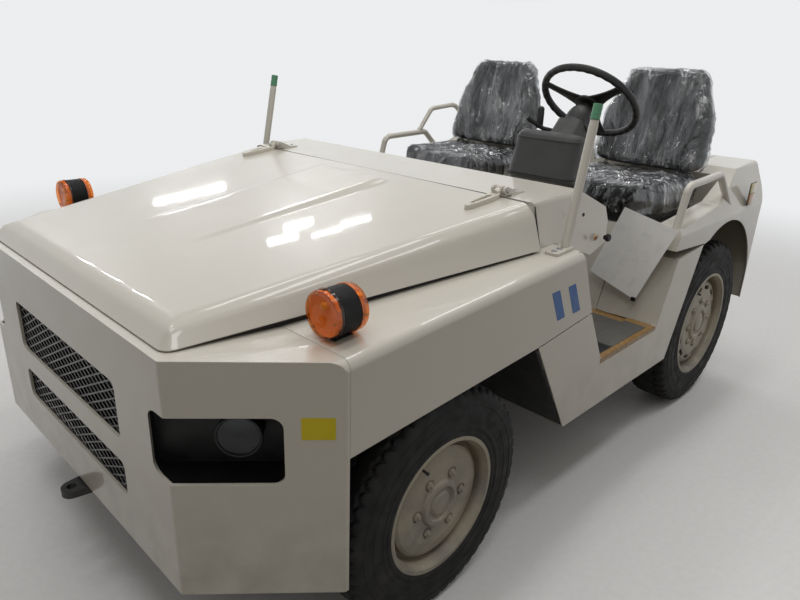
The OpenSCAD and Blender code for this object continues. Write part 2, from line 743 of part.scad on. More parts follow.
module engine() {
  color(steel) union() {
    block([470, -270, 440], [1130, 270, 900]);
    block([270, -180, 430], [470, 180, 650]);
    // mounts on the frame rails and the cross member
    for (s = [1, -1], x = [560, 1000]) block([x, s * 260, 470], [x + 80, s * (rail_y - gap), 520]);
    block([340, -80, 418 + gap], [390, 80, 431]);
    block([-120, -150, 430], [270, 150, 528]);
    bar([-745, 0, 430], [-110, 0, 478], 32);
    // exhaust: pipe, silencer and a tail pipe over the axle
    bar([490, exhaust_y, exhaust_z], [silencer_x + silencer_len - 10, exhaust_y, exhaust_z], pipe_r);
    translate([silencer_x, exhaust_y, exhaust_z]) rotate([0, 90, 0]) rotate_extrude($fn = 64)
      silencer_profile(silencer_r, silencer_len);
    bent_tube([[silencer_x + 10, exhaust_y, exhaust_z], [-700, exhaust_y, exhaust_z],
      [-800, exhaust_y, exhaust_over_axle], [-1120, exhaust_y, exhaust_over_axle],
      [-1210, exhaust_y, exhaust_z]], pipe_r - 2, 70);
  }
}

module front_axle() {
  z = front_r;
  color(steel) difference() {
    union() {
      block([front_axle_x - 40, -(kingpin_y - 20), z - 50], [front_axle_x + 40, kingpin_y - 20, z + 20]);
      for (s = [1, -1]) {
        translate([front_axle_x, s * kingpin_y, z - 74]) cylinder(r = 32, h = 148, $fn = 48);
        spring_pack(front_axle_x, s * 385, z + 20, 400 - z - 20);
      }
    }
    for (s = [1, -1]) translate([front_axle_x, s * kingpin_y, z - 80]) cylinder(r = 15.5, h = 160, $fn = 48);
  }
}

// A stack of spring leaves on an axle, up to the rail above it.
module spring_pack(x, y, z, h) {
  n = max(1, floor(h / 8));
  for (i = [0 : n - 1])
    translate([x - 260 + i * 40, y - 30, z + i * h / n]) cube([520 - i * 80, 60, h / n + (i < n - 1 ? 0.5 : 0)]);
}

module knuckle(side) {
  z = front_r;
  color(steel) on_side(side) translate([front_axle_x, kingpin_y, 0]) union() {
    for (dz = [-104, 80]) hull() {
      translate([0, 0, z + dz]) cylinder(r = 28, h = 24, $fn = 32);
      translate([-40, 52, z + dz]) cube([80, 8, 24]);
    }
    translate([0, 0, z - 104]) cylinder(r = 15, h = 208, $fn = 48);
    translate([-45, 42, z - 104]) cube([90, 20, 208]);
    translate([0, 42, z]) rotate([-90, 0, 0]) cylinder(r = 30, h = 130, $fn = 48);
    // steering arm with its ball stud
    difference() {
      hull() {
        translate([-arm_len, 0, z - 104]) cylinder(r = 24, h = 20, $fn = 32);
        translate([-20, -20, z - 104]) cube([20, 40, 20]);
      }
    }
    translate([-arm_len, 0, z - 134]) cylinder(r = 11, h = 34, $fn = 32);
  }
}

module tie_rod() {
  z = front_r - 121;
  x = front_axle_x - arm_len;
  color(steel) difference() {
    union() {
      bar([x, -kingpin_y + 18, z], [x, kingpin_y - 18, z], 13);
      for (s = [1, -1]) translate([x, s * kingpin_y, z - 12]) cylinder(r = 24, h = 24, $fn = 48);
    }
    for (s = [1, -1]) translate([x, s * kingpin_y, z - 20]) cylinder(r = 11.6, h = 40, $fn = 48);
  }
}

module rear_axle() {
  z = rear_r;
  color(steel) union() {
    bar([rear_axle_x, -625, z], [rear_axle_x, 625, z], 55);
    for (s = [1, -1]) bar([rear_axle_x, s * 600, z], [rear_axle_x, s * 735, z], 36);
    translate([rear_axle_x, 0, z]) rotate([-90, 0, 0]) rotate_extrude($fn = 72)
      polygon([[0, -110], [110, -100], [150, -60], [155, 0], [150, 60], [110, 100], [0, 110]]);
    for (s = [1, -1]) block([rear_axle_x - 60, s * 355, z + 20], [rear_axle_x + 60, s * 415, 460]);
  }
}

// Pressed disc wheel. r is the flange radius, w the rim width; the outer face is at 0 and the
// hub reaches hub_end inwards. The disc's face lies dish behind the flange.
module wheel_rim(r, w, hub_r, bore_r, dish, hub_end, bolts, slots) {
  color(cream) rotate([90, 0, 0]) difference() {
    rotate_extrude($fn = 96) union() {
      // rim band with two rolled flanges
      polygon([[r, 0], [r, 6], [r - 8, 8], [r - 14, 18], [r - 14, w - 18], [r - 8, w - 8], [r, w - 6], [r, w],
        [r - 12, w], [r - 20, w - 16], [r - 22, w - 24], [r - 22, 24], [r - 20, 16], [r - 12, 0]]);
      // disc: low cap, raised ring, shallow dome, edge turned back to the band
      polygon([[0, dish - 15], [r * 0.15, dish - 12], [r * 0.2, dish - 4], [r * 0.23, dish - 4],
        [r * 0.26, dish - 12], [r * 0.32, dish - 11], [r * 0.35, dish - 2], [r * 0.6, dish - 3],
        [r * 0.76, dish + 2], [r * 0.81, dish + 8], [r * 0.83, dish + 24], [r - 18, dish + 34],
        [r - 18, dish + 44], [r * 0.79, dish + 30], [r * 0.76, dish + 12], [r * 0.6, dish + 6],
        [hub_r, dish + 8], [hub_r, hub_end], [bore_r, hub_end], [bore_r, dish + 10], [0, dish + 10]]);
    }
    for (i = [0 : bolts - 1]) rotate([0, 0, i * 360 / bolts])
      translate([r * 0.44, 0, dish - 12]) cylinder(r = 17, h = 13, $fn = 48);
    if (slots > 0) for (i = [0 : slots - 1]) rotate([0, 0, i * 360 / slots + 15])
      translate([r * 0.7, 0, dish - 30]) linear_extrude(80)
        offset(r = 8, $fn = 24) square([2, 40], center = true);
  }
  color(steel) rotate([90, 0, 0]) for (i = [0 : bolts - 1]) rotate([0, 0, i * 360 / bolts])
    translate([r * 0.44, 0, dish - 8]) cylinder(r = 12, h = 14, $fn = 6);
}

module tyre(r, w, rim_r) {
  b = rim_r - 15;
  color(rubber) rotate([90, 0, 0]) rotate_extrude($fn = 120)
    offset(r = 14, $fn = 24) offset(delta = -14)
      polygon([[b, 10], [rim_r + 14, 0], [r - 60, -3], [r - 18, 6], [r - 3, 24], [r, w / 2], [r - 3, w - 24],
        [r - 18, w - 6], [r - 60, w + 3], [rim_r + 14, w], [b, w - 10]]);
}

module front_rim(side) {
  on_side(side) translate([front_axle_x, front_out - 4, front_r])
    wheel_rim(front_rim_r, front_tyre_w - 8, 74, 31, 22, 132, 6, 0);
}

module rear_rim(side) {
  on_side(side) translate([rear_axle_x, rear_out - 4, rear_r])
    wheel_rim(rear_rim_r, rear_tyre_w - 8, 84, 37, 24, 150, 8, 12);
}

module front_tyre(side) {
  on_side(side) translate([front_axle_x, front_out - 3, front_r]) tyre(front_r, front_tyre_w - 6, front_rim_r);
}

module rear_tyre(side) {
  on_side(side) translate([rear_axle_x, rear_out - 3, rear_r]) tyre(rear_r, rear_tyre_w - 6, rear_rim_r);
}

hitch_x = -1585;

module hitch() {
  color(cream) difference() {
    union() {
      block([-1370, -110, 300], [-1340, 110, 560]);
      for (z = [300, 392, 484]) hull() {
        translate([hitch_x, 0, z]) cylinder(r = 70, h = 26, $fn = 48);
        translate([-1372, -95, z]) cube([20, 190, 26]);
      }
      hull() {
        translate([-1450, -60, 300]) cube([20, 120, 210]);
        translate([-1372, -90, 300]) cube([20, 180, 210]);
      }
    }
    translate([hitch_x, 0, 290]) cylinder(r = 18, h = 240, $fn = 48);
  }
}

module hitch_pin() {
  color(steel) union() {
    translate([hitch_x, 0, 306]) cylinder(r1 = 10, r2 = 16.5, h = 14, $fn = 48);
    translate([hitch_x, 0, 320]) cylinder(r = 16.5, h = 240, $fn = 48);
    translate([hitch_x, 0, 510.5]) cylinder(r = 30, h = 12, $fn = 48);
    bar([hitch_x, -55, 552], [hitch_x, 55, 552], 10);
  }
}

hook_z = 266;

module front_hook() {
  x = 1625;
  color(black) difference() {
    union() {
      block([1470, -60, hook_z], [1500, 60, 400 - gap]);
      hull() {
        translate([x, 0, hook_z]) cylinder(r = 30, h = 24, $fn = 48);
        translate([1490, -50, hook_z]) cube([20, 100, 24]);
      }
    }
    translate([x, 0, hook_z - 10]) cylinder(r = 14, h = 44, $fn = 48);
  }
}

module fender_left() fender(1);
module fender_right() fender(-1);
module side_panel_left() side_panel(1);
module side_panel_right() side_panel(-1);
module rear_fender_left() rear_fender(1);
module rear_fender_right() rear_fender(-1);
module headlamp_left() headlamp(1);
module headlamp_right() headlamp(-1);
module turn_lamp_left() turn_lamp(1);
module turn_lamp_right() turn_lamp(-1);
module mirror_stay_left() mirror_stay(1);
module mirror_stay_right() mirror_stay(-1);
module driver_cushion() cushion(seat_y);
module passenger_cushion() cushion(-seat_y);
module driver_back() seat_back(seat_y);
module passenger_back() seat_back(-seat_y);
module grab_rail_left() grab_rail(1);
module grab_rail_right() grab_rail(-1);
module knuckle_left() knuckle(1);
module knuckle_right() knuckle(-1);
module front_left_rim() front_rim(1);
module front_right_rim() front_rim(-1);
module rear_left_rim() rear_rim(1);
module rear_right_rim() rear_rim(-1);
module front_left_tyre() front_tyre(1);
module front_right_tyre() front_tyre(-1);
module rear_left_tyre() rear_tyre(1);
module rear_right_tyre() rear_tyre(-1);

chassis_frame();
front_panel();
grille_mesh();
radiator();
hood();
cowl();
fender_left();
fender_right();
side_panel_left();
side_panel_right();
rear_fender_left();
rear_fender_right();
rear_body();
floor_pan();
headlamp_left();
headlamp_right();
turn_lamp_left();
turn_lamp_right();
mirror_stay_left();
mirror_stay_right();
dash_pod();
steering_wheel();
driver_cushion();
driver_back();
passenger_cushion();
passenger_back();
grab_rail_left();
grab_rail_right();
engine();
front_axle();
knuckle_left();
knuckle_right();
tie_rod();
rear_axle();
front_left_rim();
front_right_rim();
rear_left_rim();
rear_right_rim();
front_left_tyre();
front_right_tyre();
rear_left_tyre();
rear_right_tyre();
hitch();
hitch_pin();
front_hook();
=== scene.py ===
"""Looks of the airport baggage tug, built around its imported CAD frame."""
import json
import math

import bmesh
import bpy
from mathutils import Matrix, Vector, noise


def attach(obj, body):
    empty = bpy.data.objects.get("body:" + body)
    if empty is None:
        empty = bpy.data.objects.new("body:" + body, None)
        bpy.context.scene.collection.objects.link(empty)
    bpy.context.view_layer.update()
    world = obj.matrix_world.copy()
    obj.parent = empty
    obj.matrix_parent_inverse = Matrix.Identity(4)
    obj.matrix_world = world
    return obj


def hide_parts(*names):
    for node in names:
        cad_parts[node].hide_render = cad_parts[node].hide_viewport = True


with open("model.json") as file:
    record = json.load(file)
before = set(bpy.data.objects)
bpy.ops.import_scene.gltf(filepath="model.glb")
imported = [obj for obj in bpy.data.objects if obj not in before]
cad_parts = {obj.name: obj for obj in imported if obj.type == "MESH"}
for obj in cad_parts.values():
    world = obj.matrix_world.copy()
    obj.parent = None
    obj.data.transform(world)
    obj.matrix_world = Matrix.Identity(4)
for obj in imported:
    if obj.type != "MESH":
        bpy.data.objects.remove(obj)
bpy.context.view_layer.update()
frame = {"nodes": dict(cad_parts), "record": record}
nodes = frame["nodes"]
scene = bpy.context.scene
SIDES = (("left", 1), ("right", -1))

# Camera and studio
EYE = Vector((2.1128, 1.8038, 1.5375))
YAW, PITCH, ROLL = (math.radians(a) for a in (224.034, 20.97, 2.1185))
FOCAL_PX, FRAME_PX, SENSOR = 652.204, 800, 36.0
BACKDROP = (0.84, 0.85, 0.86, 1)
# How pale the floor looks, and what it throws back on the machine
FLOOR_SEEN, FLOOR_LIT = 0.8, (0.17, 0.14, 0.095, 1)
# Strength of the dome at the horizon and overhead
DOME = (0.05, 0.44)
CEILING_W, STREAK_W, FILL_W = 13, 4, 2.5
# Where the small lamps hang that the hood mirrors as short streaks
STREAKS = ((-1.75, -4.45), (-2.12, -4.62), (-2.1, -4.02), (-2.5, -3.95), (-1.85, -7.7),
           (-2.15, -7.5), (-2.45, -7.25), (0.42, -4.55), (0.46, -5.25), (0.5, -5.95))


def make_camera():
    ahead = Vector((math.cos(YAW) * math.cos(PITCH), math.sin(YAW) * math.cos(PITCH), -math.sin(PITCH)))
    right = ahead.cross(Vector((0, 0, 1))).normalized()
    up = right.cross(ahead)
    rolled = (right * math.cos(ROLL) + up * math.sin(ROLL), up * math.cos(ROLL) - right * math.sin(ROLL))
    cam = bpy.data.objects.new("camera", bpy.data.cameras.new("camera"))
    scene.collection.objects.link(cam)
    cam.matrix_world = Matrix((*rolled, -ahead)).transposed().to_4x4()
    cam.location = EYE
    cam.data.sensor_width = SENSOR
    cam.data.lens = FOCAL_PX / FRAME_PX * SENSOR
    cam.data.clip_start, cam.data.clip_end = 0.05, 60
    scene.camera = cam


class Nodes:
    """Short calls for the node tree of a material or of the world."""

    def __init__(self, tree, where="Object"):
        self.nt = tree
        self.where = self.node("TexCoord").outputs[where]

    def put(self, n, *values, **named):
        """Sockets or constants for a node's inputs, in order or by capital name, and its own settings."""
        for key, value in (*enumerate(values), *named.items()):
            if str(key).islower():
                setattr(n, key, value)
                continue
            socket = n.inputs[key if isinstance(key, int) else key.replace("_", " ")]
            if hasattr(value, "is_linked"):
                self.nt.links.new(value, socket)
            elif value is not None:
                socket.default_value = value
        return n

    def node(self, kind, *values, **named):
        return self.put(self.nt.nodes.new("ShaderNode" + kind), *values, **named)

    def out(self, kind, *values, **named):
        return self.node(kind, *values, **named).outputs[0]

    def math(self, op, *values, clamp=False):
        return self.out("Math", *values, operation=op, use_clamp=clamp)

    def span(self, value, low, high, to_low=0.0, to_high=1.0, kind="LINEAR"):
        return self.out("MapRange", value, low, high, to_low, to_high, interpolation_type=kind)

    def noise(self, scale, detail=3.0, stretch=(1, 1, 1), rough=0.55):
        where = self.out("Mapping", self.where, Scale=stretch)
        return self.out("TexNoise", where, Scale=scale, Detail=detail, Roughness=rough)

    def axis(self, i):
        return self.node("SeparateXYZ", self.where).outputs[i]

    def seen(self):
        """1 for rays that show the backdrop: camera, mirror and see-through rays."""
        path = self.node("LightPath").outputs
        mirrored = self.math("MAXIMUM", path["Is Camera Ray"], path["Is Glossy Ray"])
        return self.math("MAXIMUM", mirrored, path["Is Transmission Ray"])


class Shader(Nodes):
    """A Principled material that takes tints, roughness and bumps one after the other."""

    def __init__(self, name, color, rough, metal=0.0, **fixed):
        self.mat = bpy.data.materials.new(name)
        self.mat.use_nodes = True
        super().__init__(self.mat.node_tree)
        self.bsdf = self.nt.nodes["Principled BSDF"]
        self.put(self.bsdf, Base_Color=(*color, 1), Roughness=rough, Metallic=metal, **fixed)

    def ridges(self, scale, stretch):
        """Sharp raised lines: where a noise crosses its middle."""
        off = self.math("ABSOLUTE", self.math("SUBTRACT", self.noise(scale, 4, stretch, 0.5), 0.5))
        near = self.math("SUBTRACT", 1.0, self.math("MULTIPLY", off, 5.0), clamp=True)
        return self.math("POWER", near, 4.0)

    def tint(self, fac, color):
        """Lays another colour over the base colour where fac is 1."""
        base = self.bsdf.inputs["Base Color"]
        under = base.links[0].from_socket if base.is_linked else base.default_value[:]
        self.put(self.bsdf, Base_Color=self.out("MixRGB", fac, under, (*color, 1)))

    def roughen(self, value, low, high):
        self.put(self.bsdf, Roughness=self.span(value, 0.3, 0.7, low, high))

    def bump(self, value, distance, strength=1.0, edge=0.0):
        """Adds relief over what is there; the first one may soften edges by a bevel."""
        normal = self.bsdf.inputs["Normal"]
        under = self.out("Bevel", Radius=edge, samples=4) if edge else None
        if normal.is_linked:
            under = normal.links[0].from_socket
        self.put(self.bsdf, Normal=self.out("Bump", Strength=strength, Distance=distance, Height=value,
                                            Normal=under))

    def surface(self, shader):
        self.put(self.nt.nodes["Material Output"], Surface=shader)


def make_floor():
    """A pale floor that takes the object's shadow and fades into the backdrop with distance."""
    bpy.ops.mesh.primitive_plane_add(size=120)
    floor = bpy.context.object
    floor.name = "floor"
    s = Shader("floor", (1, 1, 1), 0.6)
    seen = s.seen()
    pale = s.span(s.noise(40, 5, rough=0.5), 0.3, 0.7, FLOOR_SEEN - 0.015, FLOOR_SEEN + 0.015, "SMOOTHSTEP")
    s.put(s.bsdf, Base_Color=s.out("MixRGB", seen, FLOOR_LIT, pale))
    far = s.node("VectorMath", s.where, operation="LENGTH").outputs["Value"]
    fade = s.math("MULTIPLY", s.span(far, 2.6, 6.5, kind="SMOOTHSTEP"), seen)
    s.surface(s.out("MixShader", fade, s.bsdf.outputs[0], s.out("Emission", Color=BACKDROP)))
    floor.data.materials.append(s.mat)


def make_world():
    """A soft dome that is brighter overhead; what looks at it sees the backdrop instead."""
    world = bpy.data.worlds.new("studio")
    scene.world = world
    world.use_nodes = True
    world.node_tree.nodes.clear()
    s = Nodes(world.node_tree, "Generated")
    dome = s.out("Background", Color=(1.0, 0.97, 0.92, 1),
                 Strength=s.span(s.axis(2), -0.1, 0.9, *DOME, "SMOOTHSTEP"))
    back = s.out("Background", Color=BACKDROP, Strength=s.span(s.axis(2), 0.15, 0.8, 1.0, 0.42, "SMOOTHSTEP"))
    s.node("OutputWorld", s.out("MixShader", s.seen(), dome, back))


def area_light(name, place, aim, size, power, color=(1, 1, 1)):
    data = bpy.data.lights.new(name, "AREA")
    data.color = color
    data.shape = "RECTANGLE"
    data.size, data.size_y = size
    data.energy = power
    lamp = bpy.data.objects.new(name, data)
    scene.collection.objects.link(lamp)
    lamp.location = place
    lamp.rotation_euler = (Vector(aim) - Vector(place)).to_track_quat("-Z", "Y").to_euler()


def make_lamps():
    """Even panels overhead, small lamps for the streaks, and a warm fill from the front left."""
    for i, x in enumerate((-2.4, -0.2, 2.0)):
        for j, y in enumerate((-1.3, 0.3, 1.9)):
            area_light(f"ceiling_{i}_{j}", (x, y, 4.4), (x, y + 0.4, 0), (1.5, 0.45), CEILING_W)
    for i, (x, y) in enumerate(STREAKS):
        area_light(f"streak_{i}", (x, y, 3.6), (x + 1.5, y + 2.4, 0), (0.36, 0.08), STREAK_W)
    area_light("front_fill", (5.2, 3.2, 2.4), (0.6, 0.4, 0.6), (3.0, 2.4), FILL_W, (1, 0.88, 0.7))


make_camera()
make_floor()
make_world()
make_lamps()
scene.view_settings.view_transform = "Standard"

# Materials
M = {}
# Inner face of the fender's skin, the front wheel's bay, and the rear arch's middle and radius
FENDER_IN, BAY_X, BAY_HALF, BAY_TOP, BAY_IN = 0.868, 0.86, 0.43, 0.9, 0.606
ARCH_X, ARCH_Z, ARCH_R = -0.915, 0.468, 0.424


def undercoat(s):
    """Black on what faces the wheels, inside the fenders' skins: black paint on the wheel-house plates, and
    painted shade in the wheel wells.
    """
    x, y, z = (s.axis(i) for i in range(3))
    out = s.math("ABSOLUTE", y)
    near = s.math("LESS_THAN", s.math("ABSOLUTE", s.math("SUBTRACT", x, BAY_X)), BAY_HALF)
    bay = s.math("MULTIPLY", s.math("LESS_THAN", z, BAY_TOP), s.math("GREATER_THAN", out, BAY_IN))
    reach = s.math("ADD", s.math("POWER", s.math("SUBTRACT", x, ARCH_X), 2.0),
                   s.math("POWER", s.math("SUBTRACT", z, ARCH_Z), 2.0))
    arch = s.math("LESS_THAN", s.math("SQRT", reach), ARCH_R)
    black_and_shaded = s.math("MAXIMUM", s.math("MULTIPLY", near, bay), arch)
    # black tint: painted shade of the wheel wells, together with the black paint of their plates
    s.tint(s.math("MULTIPLY", s.math("LESS_THAN", out, FENDER_IN), black_and_shaded), (0.016, 0.015, 0.013))


def paint(name, color, rough=0.34, edge=0.003, grime=0.5, coat=0.7, arches=False):
    """Glossy enamel: faint unevenness, dust low down, and a clear coat."""
    s = Shader(name, color, rough, Coat_Weight=coat, Coat_Roughness=0.04)
    faded = tuple(c * f for c, f in zip(color, (0.93, 0.915, 0.89)))
    s.tint(s.span(s.noise(1.3, 3), 0.35, 0.75, 0, 0.3), faded)
    dust = s.math("MULTIPLY", s.span(s.axis(2), 0.62, 0.3), s.span(s.noise(9, 6), 0.35, 0.7))
    s.tint(s.math("MULTIPLY", dust, grime, clamp=True), (0.24, 0.215, 0.18))
    s.tint(s.span(s.noise(260, 2), 0.72, 0.8, 0, 0.12), (0.3, 0.27, 0.22))
    s.roughen(s.noise(11, 4), rough - 0.05, rough + 0.07)
    s.bump(s.noise(2.6, 2), 0.004, 0.1, edge)
    s.bump(s.noise(420, 1), 0.0002, 0.05)
    # black inside the wheel arches: painted shade, partly their black paint
    if arches:
        undercoat(s)
    M[name] = s.mat


def dark_metal(name, color, rough=0.5, metal=0.0, grain=160, dust=0.5, shine=0.5):
    """Metal, rubber or grained plastic: dusty patches, uneven gloss and a fine grain."""
    s = Shader(name, color, rough, metal, Specular_IOR_Level=shine)
    s.tint(s.span(s.noise(7, 5), 0.45, 0.75, 0, dust), (0.16, 0.145, 0.12))
    s.roughen(s.noise(22, 4), rough - 0.1, rough + 0.15)
    s.bump(s.noise(grain, 3), 0.0006, 0.35, 0.002)
    M[name] = s.mat


def gloss_plastic(name, color):
    """Moulded gloss plastic: a slight haze, fine scratches and dust."""
    s = Shader(name, color, 0.14, Coat_Weight=0.4, Coat_Roughness=0.05)
    s.tint(s.span(s.noise(35, 4), 0.5, 0.8, 0, 0.25), tuple(c * 0.7 for c in color))
    s.roughen(s.noise(50, 4), 0.09, 0.24)
    s.bump(s.noise(180, 2), 0.0002, 0.2)
    M[name] = s.mat


def plain(name, color, rough):
    """Tape, paper and stickers: faint fibres, scuffs and soft creases."""
    s = Shader(name, color, rough)
    s.tint(s.span(s.noise(30, 5), 0.5, 0.8, 0, 0.35), tuple(c * 0.62 + 0.02 for c in color))
    s.roughen(s.noise(40, 3), rough - 0.08, rough + 0.15)
    s.bump(s.noise(25, 4), 0.0015, 0.35)
    s.bump(s.noise(500, 2), 0.0003, 0.2)
    M[name] = s.mat


def see_through(name, tint, rough, strength=1.0, creased=False):
    """Clear plastic or glass: tinted, with a gloss that grows at glancing angles; film has painted white
    highlights along its creases.
    """
    s = Shader(name, tint, rough)
    if creased:
        large, small = (s.ridges(scale, (1, 0.8, 0.3)) for scale in (7, 24))
        height = s.math("ADD", large, s.math("MULTIPLY", small, 0.18))
        bump = s.out("Bump", Strength=1.0, Distance=0.005, Height=height)
    else:
        bump = s.out("Bump", Strength=0.3, Distance=0.001, Height=s.noise(60, 3))
    gloss = s.out("BsdfAnisotropic", Color=(0.97, 0.98, 1.0, 1), Roughness=rough, Normal=bump)
    share = s.math("MULTIPLY_ADD", s.out("Fresnel", IOR=1.5, Normal=bump), strength, 0.03, clamp=True)
    if creased:
        streaks = s.span(s.noise(14, 3, (1, 1, 0.2)), 0.4, 0.6, 0.55, 1.6)
        share = s.math("MULTIPLY", share, streaks, clamp=True)
    last = s.out("MixShader", share, s.out("BsdfTransparent", Color=(*tint, 1)), gloss)
    if creased:
        # painted highlight: a white diffuse veil along the film's creases
        line = s.span(s.math("ADD", large, small), 0.9, 1.8, 0.02, 0.5)
        crease_highlight = s.math("MULTIPLY", line, s.span(s.noise(5, 2), 0.45, 0.7))
        last = s.out("MixShader", crease_highlight, last, s.out("BsdfDiffuse", Color=(0.85, 0.87, 0.88, 1)))
    s.surface(last)
    M[name] = s.mat


def fabric(name, color):
    """Woven cover: a fine weave with a soft sheen, and a slight unevenness."""
    s = Shader(name, color, 0.85, Sheen_Weight=0.3)
    s.tint(s.span(s.noise(12, 4), 0.4, 0.7, 0, 0.4), tuple(c * 0.6 for c in color))
    s.roughen(s.noise(60, 2), 0.78, 0.92)
    for direction in ("X", "Y"):
        weave = s.node("TexWave", s.where, Scale=260.0, Distortion=0.6, bands_direction=direction)
        s.bump(weave.outputs["Fac"], 0.0004, 0.35)
    M[name] = s.mat


paint("paint", (0.625, 0.595, 0.525), arches=True)
# the rims' colour is darker than their cream paint: painted shade of the wheels under the fenders
paint("rim", (0.4, 0.36, 0.27), 0.5, grime=1.3, coat=0.2)
paint("cast_paint", (0.6, 0.565, 0.48), 0.5)
dark_metal("black_paint", (0.014, 0.014, 0.015), 0.45, dust=0.25)
dark_metal("mesh_black", (0.006, 0.006, 0.006), 0.22, dust=0.03, shine=0.6)
dark_metal("lamp_black", (0.005, 0.005, 0.005), 0.45, dust=0.03, shine=0.3)
dark_metal("pod", (0.026, 0.027, 0.026), 0.42, grain=900, dust=0.05)
dark_metal("shroud", (0.06, 0.06, 0.056), 0.5, grain=900, dust=0.05)
dark_metal("seat", (0.014, 0.015, 0.016), 0.6, grain=700, dust=0.05)
dark_metal("iron", (0.05, 0.05, 0.05), 0.6)
dark_metal("cast_iron", (0.15, 0.155, 0.15), 0.55, grain=220)
dark_metal("steel", (0.42, 0.42, 0.42), 0.35, 1.0)
dark_metal("tyre", (0.007, 0.007, 0.0068), 0.72, grain=300, dust=0.07, shine=0.28)
dark_metal("grip", (0.01, 0.01, 0.01), 0.38, grain=500, dust=0.04, shine=0.4)
dark_metal("rubber", (0.012, 0.012, 0.012), 0.7, grain=400, dust=0.3)
dark_metal("grey_mat", (0.1, 0.095, 0.085), 0.75, grain=400, dust=0.3)
dark_metal("dull_reflector", (0.2, 0.2, 0.2), 0.25, 0.9, grain=60)
# near black and not metal: painted shade of the headlamps' recesses
dark_metal("smoked_bowl", (0.012, 0.012, 0.012), 0.35, dust=0.05)
gloss_plastic("amber", (0.85, 0.2, 0.012))
gloss_plastic("amber_reflector", (0.95, 0.62, 0.3))
gloss_plastic("pale_lens", (0.72, 0.62, 0.3))
gloss_plastic("dull_amber", (0.5, 0.22, 0.04))
see_through("glass", (0.35, 0.36, 0.37), 0.25, 0.12)
see_through("amber_lens", (1.0, 0.53, 0.08), 0.16, 0.45)
see_through("red_lens", (0.85, 0.1, 0.06), 0.08)
see_through("film", (0.965, 0.975, 0.975), 0.13, 1.5, creased=True)
fabric("fabric", (0.026, 0.028, 0.03))
plain("paper", (0.9, 0.89, 0.87), 0.6)
plain("blue_tape", (0.035, 0.13, 0.4), 0.4)
plain("yellow_tape", (0.72, 0.58, 0.015), 0.45)
plain("green_tape", (0.1, 0.3, 0.17), 0.4)
plain("brown_tape", (0.3, 0.17, 0.055), 0.25)

for part in frame["record"]["subparts"]:
    materials = nodes[part["node"]].data.materials
    materials.clear()
    materials.append(M[part["material_slot"]])
nodes["grille_mesh"].data.materials[0] = M["mesh_black"]
nodes["engine"].data.materials[0] = M["cast_iron"]


# Mesh helpers
def piece(name, verts, faces, mat, slot=None, body="chassis", sharp=None, smooth=True, replaces=()):
    """A mesh in the row frame that rides on a body; with sharp given, edges over that angle stay sharp."""
    mesh = bpy.data.meshes.new(name)
    mesh.from_pydata([tuple(v) for v in verts], [], [tuple(f) for f in faces])
    mesh.validate()
    mesh.polygons.foreach_set("use_smooth", [smooth] * len(mesh.polygons))
    mesh.materials.append(M[mat])
    obj = bpy.data.objects.new(name, mesh)
    scene.collection.objects.link(obj)
    bm = bmesh.new()
    bm.from_mesh(mesh)
    bmesh.ops.remove_doubles(bm, verts=bm.verts, dist=1e-5)
    bmesh.ops.recalc_face_normals(bm, faces=bm.faces)
    bm.to_mesh(mesh)
    bm.free()
    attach(obj, body)
    if replaces:
        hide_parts(*replaces)
    return smooth_by_angle(obj, sharp) if sharp else obj


def smooth_by_angle(obj, degrees):
    """Marks sharp edges over an angle, with the rest smooth."""
    bm = bmesh.new()
    bm.from_mesh(obj.data)
    for f in bm.faces:
        f.smooth = True
    for e in bm.edges:
        if len(e.link_faces) == 2:
            e.smooth = e.calc_face_angle(0) < math.radians(degrees)
    bm.to_mesh(obj.data)
    bm.free()
    return obj


def bake(obj):
    """Applies an object's modifiers to its mesh."""
    dg = bpy.context.evaluated_depsgraph_get()
    mesh = bpy.data.meshes.new_from_object(obj.evaluated_get(dg))
    obj.modifiers.clear()
    obj.data = mesh


def ease(t):
    t = min(max(t, 0.0), 1.0)
    return t * t * (3 - 2 * t)


def mm(*pairs):
    """A profile of (radius, height) given in millimetres."""
    return [(r / 1000, h / 1000) for r, h in pairs]


def grid(nu, nv, wrap_u=False, wrap_v=False):
    """Quads of a grid whose points are numbered u first."""
    return [(i * nv + j, ((i + 1) % nu) * nv + j, ((i + 1) % nu) * nv + (j + 1) % nv, i * nv + (j + 1) % nv)
            for i in range(nu if wrap_u else nu - 1) for j in range(nv if wrap_v else nv - 1)]


def slab(k):
    """Faces of two layers of k by k points, joined round their rims."""
    m = k * k
    last = m - k
    ring = list(range(k)) + [i * k + k - 1 for i in range(1, k)]
    ring += [last + j for j in range(k - 2, -1, -1)] + [i * k for i in range(k - 2, 0, -1)]
    rim = [(a, b, b + m, a + m) for a, b in zip(ring, ring[1:] + ring[:1])]
    return [tuple(reversed(f)) for f in grid(k, k)] + [tuple(i + m for i in f) for f in grid(k, k)] + rim


def loft(rings):
    """Points and faces of a skin over rings of equal length, closed at both ends."""
    rows, n = len(rings), len(rings[0])
    ends = [tuple(range(n)), tuple((rows - 1) * n + k for k in range(n))]
    return [p for ring in rings for p in ring], grid(rows, n, wrap_v=True) + ends


def basis(axis):
    """Two unit vectors square to an axis, and the axis."""
    w = Vector(axis).normalized()
    u = w.cross(Vector((0, 0, 1)) if abs(w.z) < 0.9 else Vector((1, 0, 0))).normalized()
    return u, w.cross(u), w


def revolved(profile, centre, axis, segs=64, wave=None):
    """Points and quads of a profile of (radius, height) turned round an axis."""
    u, v, w = basis(axis)
    verts = []
    for i in range(segs):
        a = 2 * math.pi * i / segs
        for k, (r, h) in enumerate(profile):
            if wave:
                r, h = wave(k, r, h, a)
            verts.append(Vector(centre) + (u * math.cos(a) + v * math.sin(a)) * r + w * h)
    return verts, grid(segs, len(profile), wrap_u=True)


def turned(name, profile, centre, axis, mat, slot=None, body="chassis", segs=64, wave=None, **rest):
    return piece(name, *revolved(profile, centre, axis, segs, wave), mat, slot, body, **rest)


